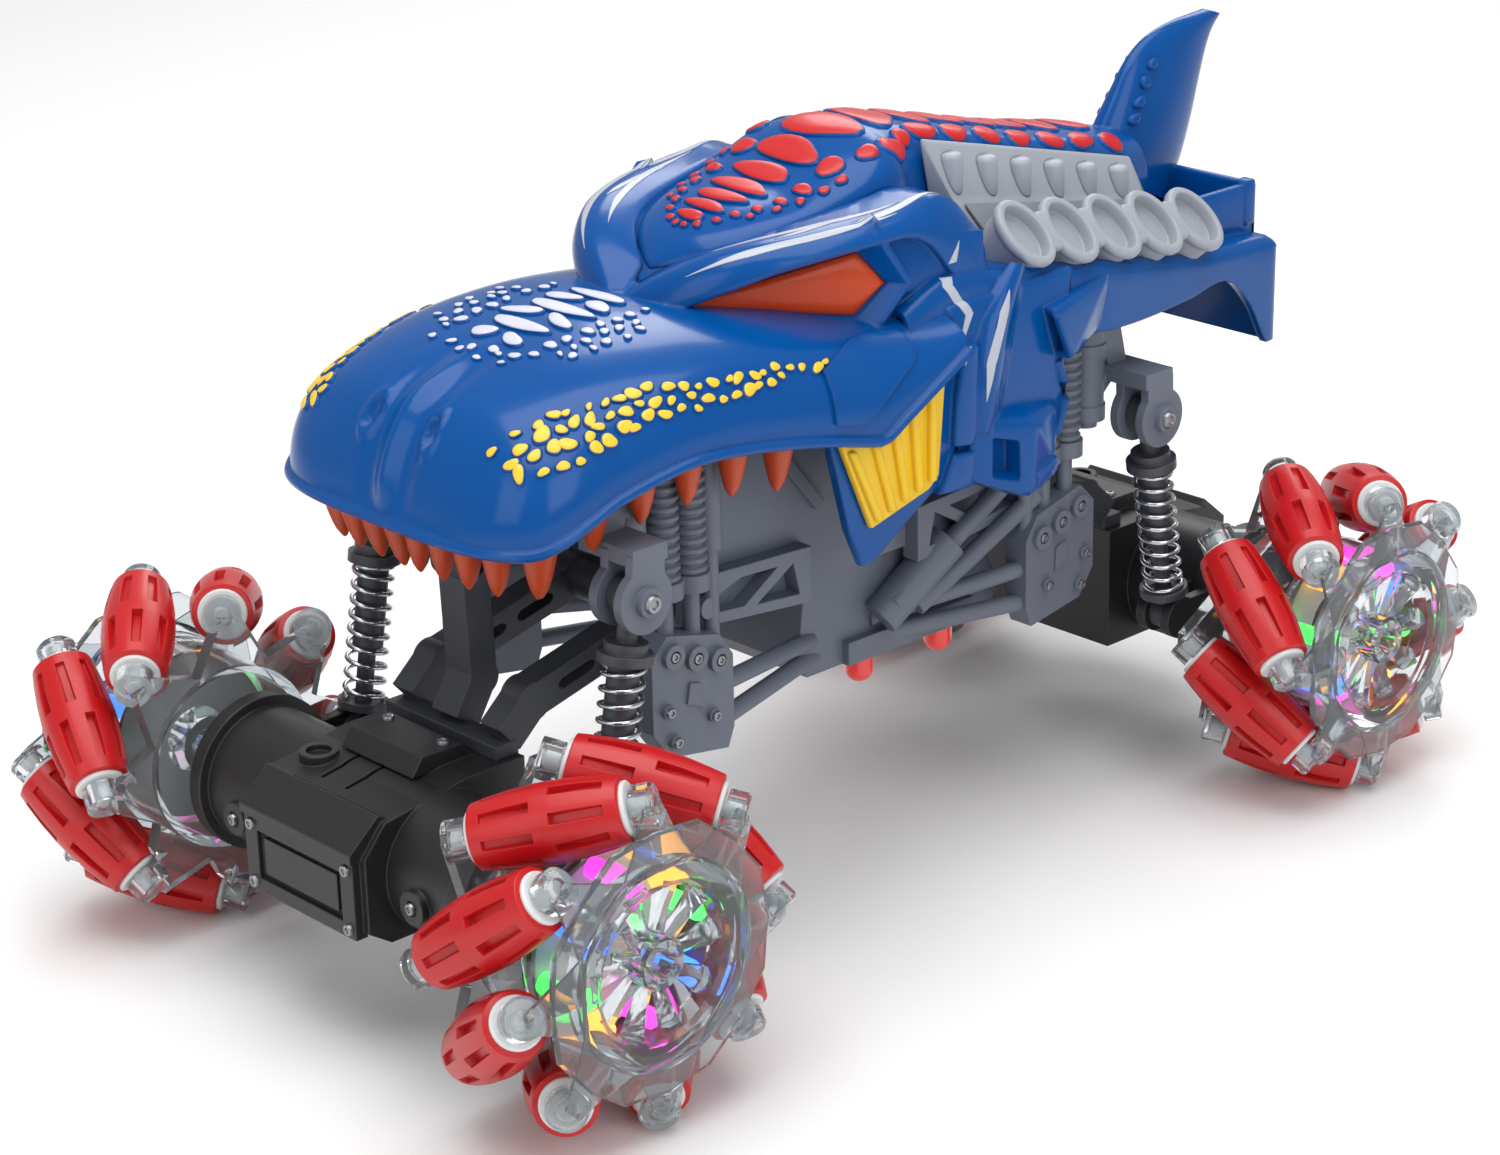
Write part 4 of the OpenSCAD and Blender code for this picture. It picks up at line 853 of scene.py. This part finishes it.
# Cheek grilles: yellow ribbed plates snapped onto the skirt behind the jaw.
# Satin ABS, five upright ribs on a thin back plate.
grille_yellow = moulded("grille_yellow", srgb(240, 196, 18), rough=0.35, mottle=0.06, grain=0.04, edge=0.5)
grille_edge = ((27, 123), (15, 122.4), (3, 129), (-8.6, 134), (-6, 106), (-2.7, 103.4), (16.5, 98.6))
rib_half, rib_faces = 1.2, (49.6, 51.6)
stock = bmesh.new()
for side in (1, -1):
    plate(stock, grille_edge, side, (48.35, 50.2), 0.5)
    for k in range(5):
        foot, head = (14.6 - 4.4 * k, 100.2 + 1.3 * k), (23.4 - 6.6 * k, 119.4 + 3.1 * k)
        rib = [(x + d, y, z) for x, z in (foot, head) for d in (-rib_half, rib_half) for y in rib_faces]
        block(stock, on_side(side, rib), 0.7, 3)
grilles = make("cheek_ribs", stock, grille_yellow, "car")
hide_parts("cheek_grilles")


# Exhaust banks: pale grey housings on the shoulders with six round louvres and five oval cups each.
# Satin ABS, moulded apart from the shell and screwed on from inside.
exhaust_grey = moulded("exhaust_grey", srgb(160, 165, 174), rough=0.38, mottle=0.05, grain=0.05, edge=0.5)
# The lower slanted panels take a darker grey of the same plastic: painted shade on those panels.
exhaust_painted_shade = moulded("exhaust_painted_shade", srgb(124, 128, 137), rough=0.42, grain=0.06)
front_ring = [(-36, 20.7, 147), (-39, 38, 147), (-35, 26, 163), (-31, 20.8, 177), (-31, 19.4, 177.3)]
back_ring = [(-108, 20.4, 134), (-108, 36, 134), (-107.5, 24.6, 149.4), (-107, 20.6, 158.5),
             (-107, 19.4, 158.8)]
louvre_profile = [(0, -4), (0.8, -3.4), (2.7, 0.4), (2.9, 2), (2.9, 9.2), (2.6, 10), (2, 10.4), (0, 10.4)]
lower_panel = ((-41, 37.6, 149), (-38, 27.5, 161), (-106, 26, 148.4), (-106.5, 35.4, 136.6),
               (-41, 38.4, 149.4), (-38, 28.3, 161.6), (-106, 26.8, 149), (-106.5, 36.2, 137))
cup_profile = ((6.2, -15), (6.4, -3.6), (7.1, -2.9), (7.6, -2.3), (7.75, -1.4), (7.6, -0.6), (7.2, -0.12),
               (6.8, 0), (6.1, 0), (5.7, -0.15), (5.5, -0.6), (5.4, -1.4), (5.3, -3.2), (5, -3.5))
cups, cup_tall = 5, 1.8
stock, dark = bmesh.new(), bmesh.new()
for side in (1, -1):
    part = bmesh.new()
    skin(part, [on_side(side, ring) for ring in (front_ring, back_ring)])
    bmesh.ops.bevel(part, geom=part.edges[:], offset=0.7, segments=2, profile=0.5, affect="EDGES")
    weld_in(stock, part)
    for k in range(6):
        place = Matrix.Translation((-38.5 - 12.2 * k, side * (23 - 0.06 * k), 162.5 - 2.96 * k))
        turned(stock, louvre_profile, place, 28)
    block(dark, on_side(side, lower_panel), 0.3)
    mouth = (Matrix.Diagonal((1, side, 1, 1)) @ Matrix.Translation((-45.1, 42, 155.9))
             @ Matrix.Rotation(radians(15.5), 4, "Z") @ Matrix.Rotation(radians(8.1), 4, "Y")
             @ Matrix.Rotation(radians(-46.4), 4, "X"))
    for k in range(cups):
        place = mouth @ Matrix.Translation((-14.7 * k, 6.1 * k, 0))
        skin(stock, [[place @ Vector((r * cos(a), (r + cup_tall) * sin(a), z)) for a in around(48)]
                     for r, z in cup_profile])
        if k < cups - 1:
            neck = place @ Matrix.Translation((-7.35, 3.05, -1.4)) @ Matrix.Rotation(radians(-22.5), 4, "Z")
            block(stock, [neck @ Vector(p) for p in box_at(-1.9, -5.4, -1.2, 1.9, 5.4, 1.36)], 0.8, 4)
banks = make("exhaust_housings", stock, exhaust_grey, "car", sharp=38)
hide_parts("exhaust_banks")
# The lower panels get the darker grey, painted shade.
make("exhaust_lower_panels", dark, exhaust_painted_shade, "car")


# Raised scales and plates: flat-topped bumps moulded on the shell, with paint on their tops only: pale on the
# snout, yellow on the jaw, red along the back. A plain blue plate stands on each cheek.
# Silver stripes are painted flat on the brow and neck.
def seated(start, run):
    """Where a line meets the shell, and the shell's direction there."""
    spot, out, _, _ = shell_tree.ray_cast(Vector(start), Vector(run))
    return spot, (out if out.dot(Vector(run)) < 0 else -out)


def scale_on(paint, start, run, long, short, rise, turn=0.0):
    """A low, slightly uneven oval plate that follows the shell; turn is measured from the car's length."""
    spot, out = seated(start, run)
    along = Vector((cos(turn), sin(turn), 0))
    along = (along - out * out.dot(along)).normalized()
    aside = out.cross(along)
    lean = luck.uniform(0, 6)
    outline = []
    for j in range(20):
        a = pi * j / 10
        r = 1 + 0.1 * cos(2 * a + lean) + 0.07 * cos(3 * a + 2 * lean)
        p = r * (long * cos(a) * along + short * sin(a) * aside)
        under = shell_tree.ray_cast(spot + p + out * 4, -out, 9)[0]
        outline.append((p, (under - spot).dot(out) if under else -0.4))
    brim = min(0.22, 0.4 / short)
    foot = ((1 + brim, -0.6), (1 + brim, 0.2 * rise), (1 + 0.2 * brim, 0.7 * rise), (0.9, 0.74 * rise))
    cap = ((0.97, 0.4 * rise), (0.96, 0.84 * rise), (0.89, 0.97 * rise), (0.5, 1.04 * rise))
    for stock, levels in ((feet, foot), (paint, cap)):
        skin(stock, [[spot + share * p + out * (sag * share * share + height) for p, sag in outline]
                     for share, height in levels])


luck = Random(7)
down = Vector((0, 0, -1))
scale_pale = moulded("scale_pale", srgb(206, 208, 226), rough=0.34, gloss=0.1, mottle=0.06)
scale_yellow = moulded("scale_yellow", srgb(242, 200, 48), rough=0.34, gloss=0.1, mottle=0.06)
scale_red = moulded("scale_red", srgb(198, 10, 14), rough=0.34, gloss=0.1, mottle=0.06)
stripe_silver = moulded("stripe_silver", srgb(184, 190, 202), rough=0.34, gloss=0.1)
feet, pale, yellow, red = bmesh.new(), bmesh.new(), bmesh.new(), bmesh.new()
over_snout, over_back = 230, 260
snout_bars = ((54, 8.6), (59.6, 10.4), (65.4, 11.6), (71.4, 11.2), (77.6, 10.2), (84, 8.2))
for k, (x, wide) in enumerate(snout_bars):
    if k % 2:
        for side in (1, -1):
            start = (x, side * (wide / 2 + 0.8), over_snout)
            scale_on(pale, start, down, 2.1, wide / 2 - 0.4, 0.9, -side * 0.35)
    else:
        scale_on(pale, (x, 0, over_snout), down, 2.2, wide, 0.9)
for row in range(-7, 8):
    for i in range(-6, 7):
        u, v = 4.6 * (i + 0.5 * (row % 2)) + luck.uniform(-1, 1), 4.0 * row + luck.uniform(-1, 1)
        far = (u / 23) ** 2 + (v / 27) ** 2
        if far < 1 and not (abs(u + 3) < 20 and abs(v) < 13.6):
            long = (2.3 - 1.1 * far) * luck.uniform(0.75, 1.1)
            short = long * luck.uniform(0.55, 0.8)
            scale_on(pale, (72 + u, v, over_snout), down, short, long, 0.8, luck.uniform(-0.6, 0.6))
shoulder_y = [(26, 46.5), (40, 46.6), (57, 46), (70, 44.6), (80, 42.4), (90, 41), (100, 38.6), (112, 33.5)]
shoulder_z = [(26, 140.4), (40, 141.4), (57, 141.4), (70, 141.8), (80, 142), (90, 140.4), (100, 138),
              (112, 134)]
band = [(26, 0.4), (40, 2), (60, 4), (85, 6), (100, 8), (112, 6)]
for side in (1, -1):
    x = 110.5
    while x > 26:
        count = 1 + int(curve(band, x) / 2.2)
        for i in range(count):
            v = curve(band, x) * (2 * i + 1 - count) / count + luck.uniform(-0.8, 0.8)
            y, z = curve(shoulder_y, x) + 0.72 * v, curve(shoulder_z, x) - 0.62 * v
            spot = Vector((x + luck.uniform(-1, 1), side * y, z))
            off = Vector((0.3, side * 0.62, 0.72)) * 40
            long = luck.uniform(1.0, 1.9) + 0.008 * (x - 26) * luck.uniform(0, 1)
            short = long * luck.uniform(0.58, 0.82)
            scale_on(yellow, spot + off, -off.normalized(), long, short, 0.85, luck.uniform(-0.8, 0.8))
        x -= luck.uniform(3.4, 4.4)
dome_plates = ((25, 1.7, 4.6), (20.4, 1.9, 7), (15.2, 2.2, 8.8), (9.2, 2.8, 9.8), (2, 3.3, 10),
               (-6.8, 4.6, 10.4), (-18, 5.9, 12.4), (-30.8, 6, 11.4))
side_plates = ((-6, 14.8, 3.4, 3.4), (-14.6, 18.6, 2.8, 2.6), (-23.4, 18.2, 4.2, 3.8), (3.4, 15.2, 2, 2.5),
               (0.6, 19.4, 1.4, 1.2), (-4.6, 20, 1.5, 1.3), (7, 18, 1.3, 1.1), (10, 14.6, 1.4, 1.7),
               (13, 16.4, 1.1, 1), (15.8, 12.8, 1.2, 1.4), (19, 13.6, 1, 0.9), (20.4, 10.2, 1.1, 1.3),
               (24.2, 8, 1, 1.1), (27.2, 4.6, 1.1, 1.1), (28.4, 1.4, 0.9, 0.9), (-29.4, 15, 2.6, 2.8))
for x, long, wide in dome_plates:
    scale_on(red, (x, 0, over_back), down, long, wide, 1.0)
for k in range(6):
    scale_on(red, (-43.6 - 12.2 * k, 0, over_back), down, 5.8 - 0.1 * k, 9 - 0.4 * k, 1.0)
for side in (1, -1):
    for x, y, long, wide in side_plates:
        scale_on(red, (x, side * y, over_back), down, long, wide, 0.9, side * 0.4)
    for k in range(7):
        scale_on(red, (-37.6 - 11.6 * k, side * 13.4, over_back), down, 4.8 - 0.1 * k, 3.3, 0.9)
    for t in (0.12, 0.24, 0.36, 0.5, 0.64):
        spot = (curve(fin_lead, t) - 6.4 + 3 * t, side * 60, curve(fin_rise, t) - 2.5)
        scale_on(feet, spot, (0, -side, 0), 2.2 - t, 1.3, 1.1, 1.0)
for name, stock, paint in (("scale_feet", feet, shell_blue), ("snout_scales", pale, scale_pale),
                           ("jaw_scales", yellow, scale_yellow), ("back_plates", red, scale_red)):
    make(name, stock, paint, "car", sharp=50)


def layer_on(stock, rows, high=0.14, step=1.8, cells=3):
    """A layer over the shell on rows of (first line's start, last line's start, run); it parts at steps."""
    rings, last = [], None
    for left, right, run in rows + [(None, None, None)]:
        starts = [Vector(left).lerp(Vector(right), j / cells) for j in range(cells + 1)] if left else []
        spots = [seated(start, run) for start in starts]
        depths = [spot.dot(run) for spot, _ in spots]
        level = spots and max(depths) - min(depths) < step
        if rings and (not level or abs(depths[1] - last) > 1):
            if len(rings) > 2:
                skin(stock, rings)
            rings = []
        if level:
            top = [spot + out * high for spot, out in spots]
            rings.append(top + [spot - out * 0.4 for spot, out in spots[::-1]])
            last = depths[1]


beside = 120
plate_low = [(1, 139.4), (3, 137), (9, 133.2), (18.5, 127), (24, 126.4), (32, 128.4)]
plate_top = [(1, 140.6), (3, 142), (10, 142.6), (20, 141.8), (32, 139)]
stock = bmesh.new()
for side in (1, -1):
    rows = []
    for x in range(30, 1, -1):
        low, high = curve(plate_low, x), curve(plate_top, x)
        rows.append(((x, side * beside, low), (x, side * beside, high), Vector((0, -side, 0))))
    layer_on(stock, rows, 0.9, 14, 10)
make("cheek_plates", stock, shell_blue, "car")
brow_lines = ((4.2, 4.4, 2.3, 43, -3), (12.5, 8.4, 2.2, 35, -8), (7.6, 11, 1.5, 26, 4),
              (5.6, 7.4, 2.1, 8, -20))
neck_bolts = (((-19.6, 159), (-13.6, 149.6), (-19, 142), (-14.4, 131)),
              ((-31.4, 145.6), (-26.6, 137), (-22.6, 129.4), (-20.6, 121)))
stock = bmesh.new()
for side in (1, -1):
    for start, stop, wide, first, last in brow_lines:
        rows = []
        for k in range(41):
            x = first + (last - first) * k / 40
            w = wide * min(1, 0.06 + k / 9, 0.06 + (40 - k) / 16)
            y = brow_half(x) - start + (start - stop) * k / 40
            rows.append(((x, side * (y - w / 2), over_snout), (x, side * (y + w / 2), over_snout), down))
        layer_on(stock, rows)
    for bolt in neck_bolts:
        rows = []
        for k in range(55):
            t = min(k / 18, 2.999)
            (x0, z0), (x1, z1) = bolt[int(t)], bolt[int(t) + 1]
            x, z = x0 + (x1 - x0) * (t % 1), z0 + (z1 - z0) * (t % 1)
            w = 1.5 * min(1, 0.05 + k / 10, 0.05 + (54 - k) / 22)
            rows.append(((x - w, side * beside, z), (x + w, side * beside, z), Vector((0, -side, 0))))
        layer_on(stock, rows)
make("brow_stripes", stock, stripe_silver, "car")
